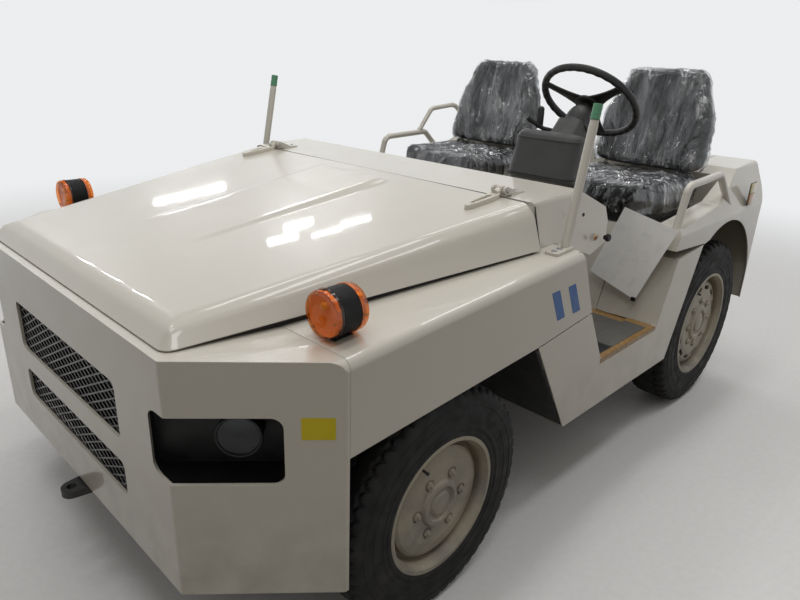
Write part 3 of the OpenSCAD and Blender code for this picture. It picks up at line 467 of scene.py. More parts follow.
def tube(points, r, sides=12, squash=1.0, flat_dir=None):
    """Points and faces of a round or flattened tube along a path, with its ends closed."""
    pts = [Vector(p) for p in points]
    rings, u = [], None
    for i, p in enumerate(pts):
        t = (pts[min(i + 1, len(pts) - 1)] - pts[max(i - 1, 0)]).normalized()
        lean = Vector(flat_dir) if flat_dir else u
        u = basis(t)[0] if lean is None else (lean - t * t.dot(lean)).normalized()
        v = t.cross(u)
        turns = [2 * math.pi * k / sides for k in range(sides)]
        rings.append([p + u * math.cos(a) * r * squash + v * math.sin(a) * r for a in turns])
    return loft(rings)


class Shapes:
    """Gathers many small shapes into one piece."""

    def __init__(self):
        self.v, self.f = [], []

    def add(self, verts, faces):
        k = len(self.v)
        self.v += [Vector(p) for p in verts]
        self.f += [tuple(i + k for i in face) for face in faces]

    def turn(self, profile, centre, axis, segs=64, wave=None):
        self.add(*revolved(profile, centre, axis, segs, wave))

    def block(self, lo, hi, chamfer=0.0, turn=None):
        """A box with chamfered edges, turned by a matrix if given."""
        bm = bmesh.new()
        bmesh.ops.create_cube(bm, size=1)
        size, mid = Vector(hi) - Vector(lo), (Vector(hi) + Vector(lo)) / 2
        for v in bm.verts:
            v.co = Vector((v.co.x * size.x, v.co.y * size.y, v.co.z * size.z))
        if chamfer:
            bmesh.ops.bevel(bm, geom=bm.edges[:], offset=chamfer, segments=2, affect="EDGES", profile=0.6)
        bm.verts.index_update()
        self.add([(turn @ v.co if turn else v.co) + mid for v in bm.verts],
                 [[v.index for v in f.verts] for f in bm.faces])
        bm.free()

    def hexagon(self, at, axis, r, h):
        """A hexagon head with a domed top."""
        self.turn([(0, 0), (r, 0), (r, h * 0.72), (r * 0.86, h * 0.9), (r * 0.45, h), (0, h)], at, axis, 6)

    def bolt(self, at, axis, r):
        """A washer and a hexagon head."""
        washer = [(0, 0), (r * 1.7, 0), (r * 1.7, r * 0.22), (r * 1.6, r * 0.3), (0, r * 0.3)]
        self.turn(washer, at, axis, 24)
        self.hexagon(Vector(at) + Vector(axis).normalized() * r * 0.3, axis, r, r * 0.75)

    def make(self, name, mat, slot=None, body="chassis", sharp=None, smooth=False):
        return piece(name, self.v, self.f, mat, slot, body, sharp, smooth)


# Hood
HOOD_REAR, HOOD_FRONT = 0.4475, 1.5715
HOOD_CORNER = 0.034
# Where the side walls and the sloping top reach the front edge's corner
SIDE_END, TOP_END = 1.542, 1.51


def deck_at(x):
    """Height of the fender deck."""
    return 0.922 + (1.305 - x) * 0.06269


def hood_edge(x):
    """Half width and height of the hood's lower edge, and height of its top, at x."""
    t = (x - HOOD_REAR) / (SIDE_END - HOOD_REAR)
    top = 1.1175 - 0.1435 * (x - HOOD_REAR) / (TOP_END - HOOD_REAR)
    return 0.78 - 0.182 * t, 0.9835 - 0.056 * t, top


def hood_rise(d, width):
    """Share of the height reached at a distance from the edge: a steep wall, then a round shoulder."""
    t = min(max(d / width, 0.0), 1.0)
    wall = 0.42
    if t < wall:
        return 0.74 * t / wall
    return 0.74 + 0.26 * math.sin((t - wall) / (1 - wall) * math.pi / 2)


def crease(x, y):
    """Raised middle of the hood: grows to the rear, with soft sides and a round end."""
    along = min(max((1.27 - x) / 0.76, 0.0), 1.0)
    half = 0.15 + 0.03 * along
    return 0.0118 * along ** 0.8 * ease((half + 0.009 - abs(y)) / 0.018) * ease((x - 0.505) / 0.035)


def hood_point(x, y, half):
    """A point of the hood's skin, with the plan's front corners rounded."""
    a, b = HOOD_FRONT - x, half - abs(y)
    if a < HOOD_CORNER and b < HOOD_CORNER:
        p = Vector((HOOD_CORNER - a, HOOD_CORNER - b))
        p *= max(p.x, p.y) / p.length if p.length > 1e-9 else 1
        x = HOOD_FRONT - HOOD_CORNER + p.x
        y = math.copysign(half - HOOD_CORNER + p.y, y)
        a = b = HOOD_CORNER - p.length
    _, low, top = hood_edge(x)
    side, front = hood_rise(b, 0.082), hood_rise(a, 0.074)
    s = max(0.02 - abs(side - front), 0) / 0.02
    rise = max(min(side, front) - s * s * 0.005, 0)
    crown = 0.004 * (1 - (y / half) ** 2) * ease(min(a, b) / 0.3)
    return x, y, low + (top - low) * rise + crown + crease(x, y)


def make_hood():
    # rows lie close together near the edges, in millimetres from them
    near = [s / 1000 for s in (0, 1.5, 4, 8, 13, 19, 26, 33, 41, 49, 57, 65, 73, 82, 92, 104)]
    rows, mid = 88, 96
    xs = [HOOD_REAR + (HOOD_FRONT - near[-1] - HOOD_REAR) * i / rows for i in range(rows)]
    xs += [HOOD_FRONT - d for d in reversed(near)]
    verts = []
    for x in xs:
        half = hood_edge(min(x, SIDE_END))[0]
        ys = [-half + d for d in near] + [(-half + near[-1]) * (1 - 2 * i / mid) for i in range(1, mid)]
        ys += [half - d for d in reversed(near)]
        verts += [hood_point(x, y, half) for y in ys]
    hood = piece("hood_skin", verts, grid(len(xs), len(verts) // len(xs)), "paint", "paint", "hood",
                 replaces=["hood"])
    if sum(p.normal.z for p in hood.data.polygons) < 0:
        hood.data.flip_normals()
    thick = hood.modifiers.new("thick", "SOLIDIFY")
    thick.thickness = 0.004
    thick.offset = -1
    bake(hood)
    smooth_by_angle(hood, 50)


HINGE_X, HINGE_Y, HINGE_Z = 0.433, 0.601, 1.138
STRAP_X = HINGE_X + 0.092
SCREW = mm((0, 5), (4, 4.2), (6, 2), (6.4, -2))
PIN_HEAD = mm((0, 0), (6.8, 0), (6.8, 2.4), (5, 4), (0, 4))
KNUCKLE = mm((6.5, -13.5), (12.5, -13.5), (13.8, -12), (13.8, 12), (12.5, 13.5), (6.5, 13.5), (6.5, -13.5))


def strap_ring(s, middle, length, half, pinch, lift):
    """Outline of a strap on the hood, wide behind and narrow in front."""
    n = 56
    ring = []
    for i in range(n):
        c, q = math.cos(2 * math.pi * i / n), math.sin(2 * math.pi * i / n)
        along = math.copysign(abs(c) ** 0.75, c)
        x = middle + length / 2 * along
        y = half * (1 - pinch * (along + 1) / 2) * math.copysign(abs(q) ** 0.5, q)
        ring.append((x, s * HINGE_Y + y, hood_edge(x)[2] + 0.004 + lift))
    return ring


def make_hinges():
    """The hood's half of its two hinges: a cast strap with a long pocket, a knuckle and screws."""
    strap, screws, fixed, pins = Shapes(), Shapes(), Shapes(), Shapes()
    for s in (1, -1):
        # (how far inside the outline, height) of the strap's rings, then of its pocket's
        rings = [strap_ring(s, STRAP_X, 0.154 - 2 * d, 0.0235 - d, 0.52, lift)
                 for d, lift in mm((0, -6), (0, 9.5), (1.2, 11.2), (3, 11.8))]
        rings += [strap_ring(s, STRAP_X + 0.004, 0.096 - 2 * d, 0.0105 - d, 0.35, lift)
                  for d, lift in mm((-1, 11.8), (0.5, 10.8), (1.2, 4), (6, 3.6))]
        strap.add(*loft(rings))
        pivot = Vector((HINGE_X, s * HINGE_Y, HINGE_Z))
        strap.turn(KNUCKLE, pivot, (0, 1, 0), 40)
        strap.add(*tube([pivot + Vector((0.004, 0, -0.004)), pivot + Vector((0.03, 0, -0.008))], 0.0125, 16))
        for x in (STRAP_X - 0.028, STRAP_X + 0.03):
            screws.turn(SCREW, (x, s * HINGE_Y, hood_edge(x)[2] + 0.0082), (0, 0, 1), 20)
        for dx in (-0.082, -0.048):
            fixed.turn(SCREW, (HINGE_X + dx, s * HINGE_Y, 1.1285), (0, 0, 1), 20)
        for way in (1, -1):
            pins.turn(PIN_HEAD, pivot + Vector((0, way * 0.03, 0)), (0, way, 0), 20)
    strap.make("hinge_straps", "cast_paint", "cast_paint", "hood", 40)
    screws.make("hinge_strap_screws", "steel", "steel", "hood", 40)
    fixed.make("hinge_leaf_screws", "steel", "steel", sharp=40)
    pins.make("hinge_pin_heads", "steel", "steel", sharp=40)


def make_hood_seal():
    """Black rubber strip in the gap under the hood's edge, set back from it: painted shade that keeps the gap
    dark.
    """
    inset, thick, start, steps = 0.013, 0.005, HOOD_REAR + 0.012, 40
    half, corner_x = hood_edge(SIDE_END)[0], HOOD_FRONT - HOOD_CORNER
    path = []
    for i in range(steps + 1):
        x = start + (corner_x - start) * i / steps
        path.append((x, hood_edge(min(x, SIDE_END))[0] - inset))
    for i in range(1, 8):
        a = math.pi / 2 * i / 8
        path.append((corner_x + (HOOD_CORNER - inset) * math.sin(a),
                     half - HOOD_CORNER + (HOOD_CORNER - inset) * math.cos(a)))
    path.append((HOOD_FRONT - inset, half - HOOD_CORNER))
    whole = path + [(x, -y) for x, y in reversed(path)]
    rings = []
    for i, (x, y) in enumerate(whole):
        ahead, behind = whole[min(i + 1, len(whole) - 1)], whole[max(i - 1, 0)]
        way = Vector((ahead[0] - behind[0], ahead[1] - behind[1])).normalized()
        side = Vector((way.y, -way.x)) * thick / 2
        low = max(0.922, deck_at(x)) - 0.001
        high = hood_edge(min(x, SIDE_END))[1] + 0.006
        rings.append([(x + side.x * k, y + side.y * k, z)
                      for k, z in ((1, low), (1, high), (-1, high), (-1, low))])
    verts, faces = loft(rings)
    # a dark strip where the gap lies in shade: painted shade
    piece("hood_gap_shade", verts, faces, "rubber", "lamp_black", smooth=False)


def make_cowl_seal():
    """Black edging on the cowl's front rim, which shows as a thin dark line in the seam behind the hood:
    painted shade of the seam.
    """
    # half width and height on the cowl's skin, and how far back the edging reaches there
    run = ((0.76, 0.984, 0.4215), (0.751, 1.033, 0.427), (0.7375, 1.1075, 0.4365),
           (0.7335, 1.115, 0.4375), (0.7265, 1.1182, 0.438), (0.4, 1.1182, 0.438))
    front, proud, deep = 0.4412, 0.001, 0.004
    rings = []
    for y, z, x in run + tuple((-y, z, x) for y, z, x in reversed(run)):
        away = Vector((0, math.copysign(1, y) * (z < 1.117), z > 1.11)).normalized()
        rings.append([Vector((at, y, z)) + away * lift
                      for at, lift in ((x, proud), (front, proud), (front, -deep), (x, -deep))])
    verts, faces = loft(rings)
    piece("cowl_seam_shade", verts, faces, "rubber", "lamp_black", smooth=False)


make_hood()
make_hinges()
make_hood_seal()
make_cowl_seal()


# Wheels
def tyre_profile(r, width, rim_r):
    """(radius, offset across) from the outer bead over the tread to the inner one, and the tread's span."""
    half = width / 2
    bead = mm((-14, -9), (-4, -3), (6, 0.5), (14, 1), (18, -1), (21, -1.2), (24, 1.4), (30, 1.8), (33, -0.2))
    wall = [(rim_r + a, half + b) for a, b in bead]
    outer = r - 0.03
    k = 8
    for i in range(1, k + 1):
        t = i / k
        rr = rim_r + 0.033 + (outer - rim_r - 0.033) * t
        y = half + 0.0015 * math.sin(math.pi * t) - 0.004 * t * t
        wall.append((rr, y))
        if i in (3, 6):
            wall += [(rr + a, y + b) for a, b in mm((1.2, 1.3), (3, 1.3), (4.2, 0))]
    shoulder = [(r - a, half - b) for a, b in mm((22, 5.5), (14, 9), (8, 13.5), (4.5, 19))]
    rows, flat = 30, half - 0.024
    tread = []
    for i in range(rows + 1):
        y = flat - 2 * flat * i / rows
        tread.append((r - 0.003 * (y / flat) ** 4, y))
    far = [(a, -b) for a, b in reversed(wall + shoulder)]
    return wall + shoulder + tread + far, len(wall), len(wall + shoulder + tread + shoulder) - 1


def make_tyre(axle, side, s, x, face, r, width, rim_r, pitches, rugged):
    """A bias-ply tyre: lugs and zigzag ribs cut into the tread, beads and plain rings on the walls."""
    profile, first, last = tyre_profile(r, width, rim_r)
    grooves, depth = ((-0.24, 0.24), 0.0105) if rugged else ((-0.34, 0.0, 0.34), 0.009)
    # where the slots across the shoulders begin, and how wide they are
    slots_from, slot_half = (0.5, 0.17) if rugged else (0.62, 0.1)

    def wave(k, rr, y, a):
        if not first <= k <= last:
            return rr, y
        turn = (a / (2 * math.pi) * pitches) % 1.0
        zig = abs(turn - 0.5) * 2
        off = min(abs(y - (at + (zig - 0.5) * 0.09) * width) for at in grooves)
        cut = 1 - ease((off - 0.003) / 0.0022)
        edge = abs(y) / (width / 2)
        if edge > slots_from:
            slot_at = abs((turn + (0.5 if y > 0 else 0.0)) % 1.0 - 0.5)
            slot = 1 - ease((slot_at - slot_half) / 0.09)
            cut = max(cut, slot * min(1.0, (edge - 0.5) * 6))
        return rr - depth * cut * (1 if first + 1 < k < last - 1 else 0.5), y

    turned(f"tyre_{axle}_{side}", profile, (x, s * (face - width / 2 + 0.001), r), (0, s, 0), "tyre", "tyre",
           f"{axle}_{side}_wheel", pitches * 7, wave, sharp=38, replaces=(f"{axle}_{side}_tyre",))


# Axle, its x, outer face, tyre radius, width, rim radius, lugs round the tyre, rugged, nuts, dish
AXLES = (("front", 0.932, 0.865, 0.35, 0.162, 0.209, 54, False, 6, 0.022),
         ("rear", -0.905, 0.853, 0.39, 0.184, 0.243, 50, True, 8, 0.024))
NUT_SEAT = mm((13.6, -15), (15, -14), (15, -12.5), (11.5, -11.5))
STUD = mm((5.2, -2), (5.2, 5.2), (4.2, 6.2), (0, 6.2))
VALVE = mm((0, -4), (6, -4), (6.2, 4), (3.8, 8), (3.6, 24), (4.7, 24.5), (4.7, 34), (3.6, 35.2), (0, 35.2))


def make_rim_fittings(axle, side, s, x, face, r, rim, bolts, dish):
    """Wheel nuts on their studs, and the valve."""
    nuts, valve = Shapes(), Shapes()
    out = Vector((0, s, 0))
    for i in range(bolts):
        a = 2 * math.pi * i / bolts
        at = Vector((x + rim * 0.44 * math.cos(a), s * (face - dish + 0.008), r - rim * 0.44 * math.sin(a)))
        nuts.turn(NUT_SEAT, at, out, 32)
        nuts.hexagon(at - out * 0.012, out, 0.0134, 0.0132)
        nuts.turn(STUD, at, out, 16)
    a = math.radians(62)
    base = Vector((x + math.cos(a) * rim * 0.8, s * (face - 0.034), r + math.sin(a) * rim * 0.8))
    valve.turn(VALVE, base, (-math.cos(a) * 0.01, s * 0.034, -math.sin(a) * 0.01), 20)
    nuts.make(f"nuts_{axle}_{side}", "rim", "steel", f"{axle}_{side}_wheel", 30)
    valve.make(f"valve_{axle}_{side}", "black_paint", "black_paint", f"{axle}_{side}_wheel", 40)


for side, s in SIDES:
    for axle, x, face, r, width, rim, pitches, rugged, bolts, dish in AXLES:
        make_tyre(axle, side, s, x, face, r, width, rim, pitches, rugged)
        make_rim_fittings(axle, side, s, x, face, r, rim, bolts, dish)


# Lamps
TURN_R, TURN_X, TURN_Y = 0.058, 1.236, 0.762
# the lens, then back inside it, so that it is a shell
TURN_LENS = [(TURN_R - a, h) for a, h in mm((1.5, 26.2), (0, 26.8), (0, 29), (1.2, 29.6), (1.4, 43),
                                            (3, 47), (7, 49), (10, 49.7))]
TURN_LENS += mm((20, 49.4), (18, 48.4), (0, 48.4))
TURN_BULB = mm((9.5, 30), (9.5, 34), (10.5, 37), (9, 41.5), (5, 44), (0, 44.8))
TURN_MIRROR = mm((54, 30), (53.5, 40), (44, 33), (36, 31), (16, 30), (0, 30))


def facets(k, r, h, a):
    """Steps of a reflector: every other narrow wedge lies a little inwards."""
    return r * (1 - 0.035 * (int(a * 16 / math.pi) % 2)), h


def make_turn_lamp(side, s):
    """A drum of two lenses on a black band, each with its reflector, bulb and screws inside."""
    low = Vector((TURN_X, s * TURN_Y, deck_at(TURN_X)))
    at = low + Vector((0, 0, 0.062))
    inside, bulbs, screws, foot = Shapes(), Shapes(), Shapes(), Shapes()
    for name, way in (("front", 1), ("rear", -1)):
        axis = (way, 0, 0)
        turned(f"turn_lens_{name}_{side}", TURN_LENS, at, axis, "amber_lens", "amber", segs=96,
               replaces=[f"turn_lamp_{side}"] if way == 1 else ())
        inside.turn(TURN_MIRROR, at, axis, 32, facets)
        bulbs.turn(TURN_BULB, at + Vector((0, 0, 0.018)), axis, 20)
        for k in range(3):
            a = math.radians(110 + 120 * k)
            spot = at + Vector((way * 0.047, math.cos(a) * 0.0475, math.sin(a) * 0.0475))
            screws.turn(mm((0, 2.2), (2.6, 1.8), (3.4, 0), (3.4, -4)), spot, axis, 12)
    inside.make(f"turn_reflectors_{side}", "amber_reflector", "amber")
    bulbs.make(f"turn_bulbs_{side}", "paper", "amber", smooth=True)
    screws.make(f"turn_screws_{side}", "steel", "steel", smooth=True)
    band = mm((0, -26.2), (55, -26.2))
    for i in range(13):
        x = -25.5 + 51 * i / 12
        band += mm((56.2, x - 1.2), (56.2, x + 1.2), (55, x + 1.7), (55, x + 2.6))
    band += mm((55, 29), (0, 29))
    turned(f"turn_band_{side}", band, at, (1, 0, 0), "lamp_black", "lamp_black", segs=72, sharp=40)
    tilt = Matrix.Rotation(math.atan(0.06269), 3, "Y")
    foot.block(low + Vector((-0.03, -0.021, 0.0006)), low + Vector((0.026, 0.021, 0.0036)), 0.0008, tilt)
    foot.block(low + Vector((-0.012, -0.016, 0.0006)), low + Vector((0.02, 0.016, 0.0185)), 0.003)
    foot.bolt(low + Vector((-0.023, 0, 0.005)), (0, 0, 1), 0.0052)
    foot.make(f"turn_foot_{side}", "lamp_black", "lamp_black", sharp=35)


def cut_frame(s):
    """Origin of a front corner cut, and its directions along and out."""
    run, rise = 1.595 - 1.305, 0.875 - 0.613
    n = math.hypot(run, rise)
    along, out = Vector((-run / n, s * rise / n, 0)), Vector((rise / n, s * run / n, 0))
    return Vector((1.595, s * 0.613, 0)), along, out


def make_headlamp(side, s):
    """Bowl, domed glass and ring of the round lamp in a corner."""
    origin, along, out = cut_frame(s)
    at = origin + along * 0.15 + Vector((0, 0, 0.718)) - out * 0.0402
    bowl = mm((46.8, 0.5), (46.2, -0.8))
    bowl += [(0.0455 * math.sqrt(1 - i / 14), -0.001 - 0.004 * i / 14) for i in range(1, 15)]
    # the bowl's near-black material is painted shade of the lamp's recess
    turned(f"reflector_{side}", bowl, at, out, "smoked_bowl")
    glass = mm((51.5, 0.4), (52, 1.6), (50.5, 3.2), (47, 4))
    glass += [(0.047 * (1 - i / 16), 0.004 + 0.007 * (1 - (1 - i / 16) ** 2)) for i in range(1, 17)]
    turned(f"lamp_glass_{side}", glass, at, out, "glass")
    ring = mm((47.8, 0.5), (48, 5.2), (50, 6.8), (53, 6.2), (54.2, 3.5), (54.2, -6), (52.4, -6))
    turned(f"lamp_ring_{side}", ring, at, out, "lamp_black", "lamp_black")


for side, s in SIDES:
    make_turn_lamp(side, s)
    make_headlamp(side, s)


# Steering wheel
STEER = Vector((-0.319, 0.45, 1.372))
TILT = math.radians(48)
STEER_AXIS = Vector((-math.cos(TILT), 0, math.sin(TILT)))
HUB = mm((0, 4), (20, 3.8), (31, 2.2), (33.5, -0.5), (34, -3), (36, -3.6), (44, -5), (50, -9), (52, -14),
         (52, -19), (49, -21), (35, -22), (30, -24), (0, -24))


def round_steer(a, r, h):
    """A point at an angle and radius round the steering axis, h above the wheel's middle."""
    u = Vector((0, 1, 0))
    v = STEER_AXIS.cross(u).normalized()
    return STEER + (u * math.cos(a) + v * math.sin(a)) * r + STEER_AXIS * h


def make_steering_wheel():
    verts, n, m = [], 192, 20
    for i in range(n):
        a = 2 * math.pi * i / n
        for k in range(m):
            b = 2 * math.pi * k / m
            # finger scallops on the underside
            grip = 0.0018 * (0.5 + 0.5 * math.cos(a * 32)) * max(0.0, -math.sin(b))
            verts.append(round_steer(a, 0.19 + (0.0138 - grip) * math.cos(b), (0.0145 - grip) * math.sin(b)))
    piece("steering_rim", verts, grid(n, m, True, True), "grip", "pod", "steering_wheel",
          replaces=["steering_wheel"])
    turned("steering_hub", HUB, STEER, STEER_AXIS, "grip", "pod", "steering_wheel")
    spokes = Shapes()
    rows, across = 16, 12
    for k in range(3):
        a = math.pi / 2 + k * 2 * math.pi / 3
        wide = round_steer(a + math.pi / 2, 1, 0) - STEER
        rings = []
        for i in range(rows + 1):
            t = i / rows
            half = 0.0215 * (1 - t) ** 2 + 0.0125 + 0.004 * t * t
            ring = []
            for q in range(across):
                b = 2 * math.pi * q / across
                x = math.copysign(abs(math.cos(b)) ** 0.5, math.cos(b)) * half
                y = math.copysign(abs(math.sin(b)) ** 0.7, math.sin(b)) * 0.0052
                ring.append(round_steer(a, 0.04 + 0.146 * t, -0.012 + 0.009 * t + y) + wide * x)
            rings.append(ring)
        spokes.add(*loft(rings))
    spokes.make("steering_spokes", "grip", "pod", "steering_wheel", smooth=True)


make_steering_wheel()


# Signs and tape
def plate(name, corners, normal, thick, mat, bend=None, cuts=24):
    """A thin plate on four corners given in order round its edge, bent by a function if given."""
    c = [Vector(p) for p in corners]
    n = Vector(normal).normalized()
    top, low = [], []
    for i in range(cuts + 1):
        for j in range(cuts + 1):
            u, w = i / cuts, j / cuts
            p = c[0] * (1 - u) * (1 - w) + c[1] * u * (1 - w) + c[2] * u * w + c[3] * (1 - u) * w
            b = bend(u, w) if bend else 0.0
            top.append(p + n * (thick / 2 + b))
            low.append(p + n * (-thick / 2 + b))
    piece(name, top + low, slab(cuts + 1), mat, sharp=50)


def wound_tape(name, low, high, r, mat):
    """Tape wound round a rod between two points, with its edges a little uneven."""
    axis = high - low
    rows, turns = 14, 3.0
    profile = [(r, 0.0)]
    for i in range(rows + 1):
        step = 0.0004 if (i / rows * turns) % 1.0 < 0.5 else 0.0
        profile.append((r + 0.0006 + step, axis.length * i / rows))
    profile.append((r, axis.length))

    def wave(k, q, h, a):
        return q + 0.0002 * math.sin(5 * a + k), h + (0.0006 * math.sin(a + 1) if k else 0)

    turned(name, profile, low, axis, mat, segs=40, wave=wave)


def make_notice():
    """The blank paper notice that hangs beside the cab, with a small clip."""
    corners = [(-0.369, 0.641, 0.98), (-0.36, 0.874, 0.931), (-0.3, 0.773, 0.635), (-0.314, 0.559, 0.703)]
    plate("blank_notice", corners, (1, 0, 0.2), 0.0012, "paper",
          lambda u, w: 0.006 * math.sin(2.6 * w + 0.8) * (u - 0.3) + 0.003 * math.sin(5 * u))
    clip = Shapes()
    clip.block((-0.303, 0.76, 0.63), (-0.294, 0.778, 0.646), 0.0015)
    clip.make("notice_clip", "lamp_black")


def make_sticker():
    """The blank yellow sticker on the left corner cut."""
    origin, along, out = cut_frame(1)
    corners = [origin + along * a + out * 0.0007 + Vector((0, 0, z))
               for a, z in ((0.293, 0.789), (0.368, 0.789), (0.368, 0.734), (0.293, 0.734))]
    plate("blank_sticker", corners, out, 0.0005, "yellow_tape",
          lambda u, w: 0.0006 * max(0.0, u + w - 1.6), 10)


def make_blue_bars():
    """Plain slanted blue bars on the left fender's side."""
    bars, lean = Shapes(), 0.05
    for x in (0.33, 0.42):
        outline = ((x, 0.788), (x + 0.042, 0.786), (x + 0.042 + lean, 0.886), (x + lean, 0.888))
        bars.add(*loft([[(px, y, pz) for px, pz in outline] for y in (0.8752, 0.87565)]))
    bars.make("blue_bars", "blue_tape")


def make_stay_trim(side, s):
    """Green tape round the bare top of a mirror stay, and the bolts of its foot."""
    foot, top = Vector((0.366, s * 0.814, 0.987)), Vector((0.28, s * 0.814, 1.409))
    way = (top - foot).normalized()
    wound_tape(f"stay_tape_{side}", top - way * 0.046, top + way * 0.0004, 0.0134, "green_tape")
    bolts = Shapes()
    for x in (0.396, 0.426):
        bolts.bolt((x, s * 0.814, deck_at(x) + 0.0082), (0.06257, 0, 0.99804), 0.0058)
    bolts.make(f"stay_bolts_{side}", "steel", "steel", sharp=30)


make_notice()
make_sticker()
make_blue_bars()
for side, s in SIDES:
    make_stay_trim(side, s)


# Trim
def make_marker_lamp(side, s):
    """Side marker on a rear fender: a pale lens over a dull amber one, on a flush seat."""
    x0, x1, skin = -1.172, -1.098, 0.8752
    seat = Shapes()
    lo, hi = sorted((s * (skin - 0.003), s * (skin + 0.0006)))
    seat.block((x0, lo, 0.927), (x1, hi, 1.03), 0.001)
    seat.make(f"marker_seat_{side}", "rubber", "lamp_black")
    lo, hi = sorted((s * (skin - 0.002), s * (skin + 0.0045)))
    for name, low, high, mat in (("pale", 0.982, 1.028, "pale_lens"), ("amber", 0.929, 0.98, "dull_amber")):
        lens = Shapes()
        lens.block((x0 + 0.002, lo, low), (x1 - 0.002, hi, high), 0.004)
        lens.make(f"marker_{name}_{side}", mat, "amber", smooth=True)


def make_tail_lamp(side, s):
    """Red lens with a reflector in its round seat on the tail."""
    way = Vector((-math.cos(math.radians(2.5)), 0, -math.sin(math.radians(2.5))))
    at = Vector((-1.366, s * 0.7125, 0.985))
    turned(f"tail_reflector_{side}", mm((45, 7.2), (40, 6.6), (20, 6.4), (0, 6.4)), at, way, "dull_reflector",
           segs=48)
    lens = mm((45.5, 7), (45.8, 13.5), (44, 15))
    lens += [(0.044 * (1 - i / 14), 0.015 + 0.0035 * math.sin(i / 14 * math.pi / 2) + 0.0004 * (i % 2))
             for i in range(1, 15)]
    turned(f"tail_lens_{side}", lens, at, way, "red_lens")
    screws = Shapes()
    for k in range(3):
        a = math.radians(30 + 120 * k)
        spot = at + Vector((0, math.cos(a) * 0.0495, math.sin(a) * 0.0495)) + way * 0.0138
        screws.turn(mm((0, 1.8), (2.4, 1.4), (3, 0), (3, -3)), spot, way, 12)
    screws.make(f"tail_screws_{side}", "steel", "steel", smooth=True)


def rounded(along, centre, wide, long, r_near, r_far, n=8):
    """Points round a rectangle across the vehicle, with corner radius r_near at the +along side."""
    points = []
    for sx, sy, r, start in ((1, 1, r_near, 0), (-1, 1, r_near, 1), (-1, -1, r_far, 2), (1, -1, r_far, 3)):
        for i in range(n + 1):
            a = (start + i / n) * math.pi / 2
            points.append(centre + Vector((0, sx * (wide - r) + r * math.cos(a), 0))
                          + along * (sy * (long - r) + r * math.sin(a)))
    return points


# (height, front face, rear face, half width, corner radius) of the dash pod in millimetres, with its lip,
# groove and bead
POD_RINGS = ((1085, -36, -60, 134, 8), (1098, 4, -62.5, 138, 18), (1110, 40, -63.5, 140, 38),
             (1116.5, 46.5, -64, 141, 42), (1119, 47, -64, 141, 42), (1119.6, 41.5, -62, 136, 40),
             (1123.6, 41, -62, 136, 40), (1124.2, 45, -65, 140.5, 42), (1160, 34.5, -65, 139, 42),
             (1200, 22.5, -65, 137, 42), (1235, 12.5, -65, 135, 42), (1249, 8.5, -64.5, 134, 40),
             (1249.6, 12.2, -64.5, 137.4, 41), (1253.6, 11.8, -64, 137, 41), (1254.2, 7, -63.5, 132.8, 40),
             (1262, 3, -61, 130, 36), (1269, -4, -57, 124, 30), (1273.5, -13, -50, 115, 18),
             (1275.5, -24, -42, 102, 8))
# (top x, top z, bottom x, bottom z, half width) of the column's shroud
SHROUD_RINGS = ((-0.058, 1.25, -0.058, 1.13, 0.056), (-0.131, 1.256, -0.165, 1.185, 0.053),
                (-0.183, 1.313, -0.262, 1.242, 0.0505), (-0.186, 1.316, -0.265, 1.2445, 0.048))
BELL = mm((0, -131), (56, -131), (57.5, -126), (56, -120), (51, -118), (52.5, -112), (54, -98), (53.5, -82),
          (50.5, -67), (45, -54), (38, -45), (31, -41), (29, -26.5), (0, -26.5))
LEVER_KNOB = mm((0, -1), (12.5, 0), (14.2, 4), (14.6, 60), (13.8, 64), (14.2, 67), (14, 74), (10.5, 80),
                (4, 82.5), (0, 82.8))


def make_dash_pod():
    """The pod on the cowl, the shroud of the column, its bell under the wheel and the shift lever."""
    rings = []
    for row in POD_RINGS:
        z, front, rear, half, r = (v / 1000 for v in row)
        long = (front - rear) / 2
        rings.append(rounded(Vector((1, 0, 0)), Vector(((front + rear) / 2, 0.472, z)), half, long,
                             min(r, long * 0.95), min(0.012, long * 0.9)))
    piece("dash_cover", *loft(rings), "pod", "pod", sharp=32, replaces=("dash_pod",))
    rings = []
    for tx, tz, bx, bz, half in SHROUD_RINGS:
        top, low = Vector((tx, 0.45, tz)), Vector((bx, 0.45, bz))
        rings.append(rounded((top - low).normalized(), (top + low) / 2, half, (top - low).length / 2,
                             0.012, 0.016))
    piece("column_shroud", *loft(rings), "shroud", "pod", sharp=32)
    turned("column_bell", BELL, STEER, STEER_AXIS, "pod", "pod")
    lever = Shapes()
    lever.add(*tube([(-0.17, 0.402, 1.262), (-0.15, 0.36, 1.27), (-0.12, 0.325, 1.296),
                     (-0.105, 0.312, 1.31)], 0.0048, 12, 1.8, (0, 0, 1)))
    lever.turn(LEVER_KNOB, (-0.148, 0.342, 1.27), (0, 0, 1), 32)
    lever.make("shift_lever", "grip", "pod", sharp=40)


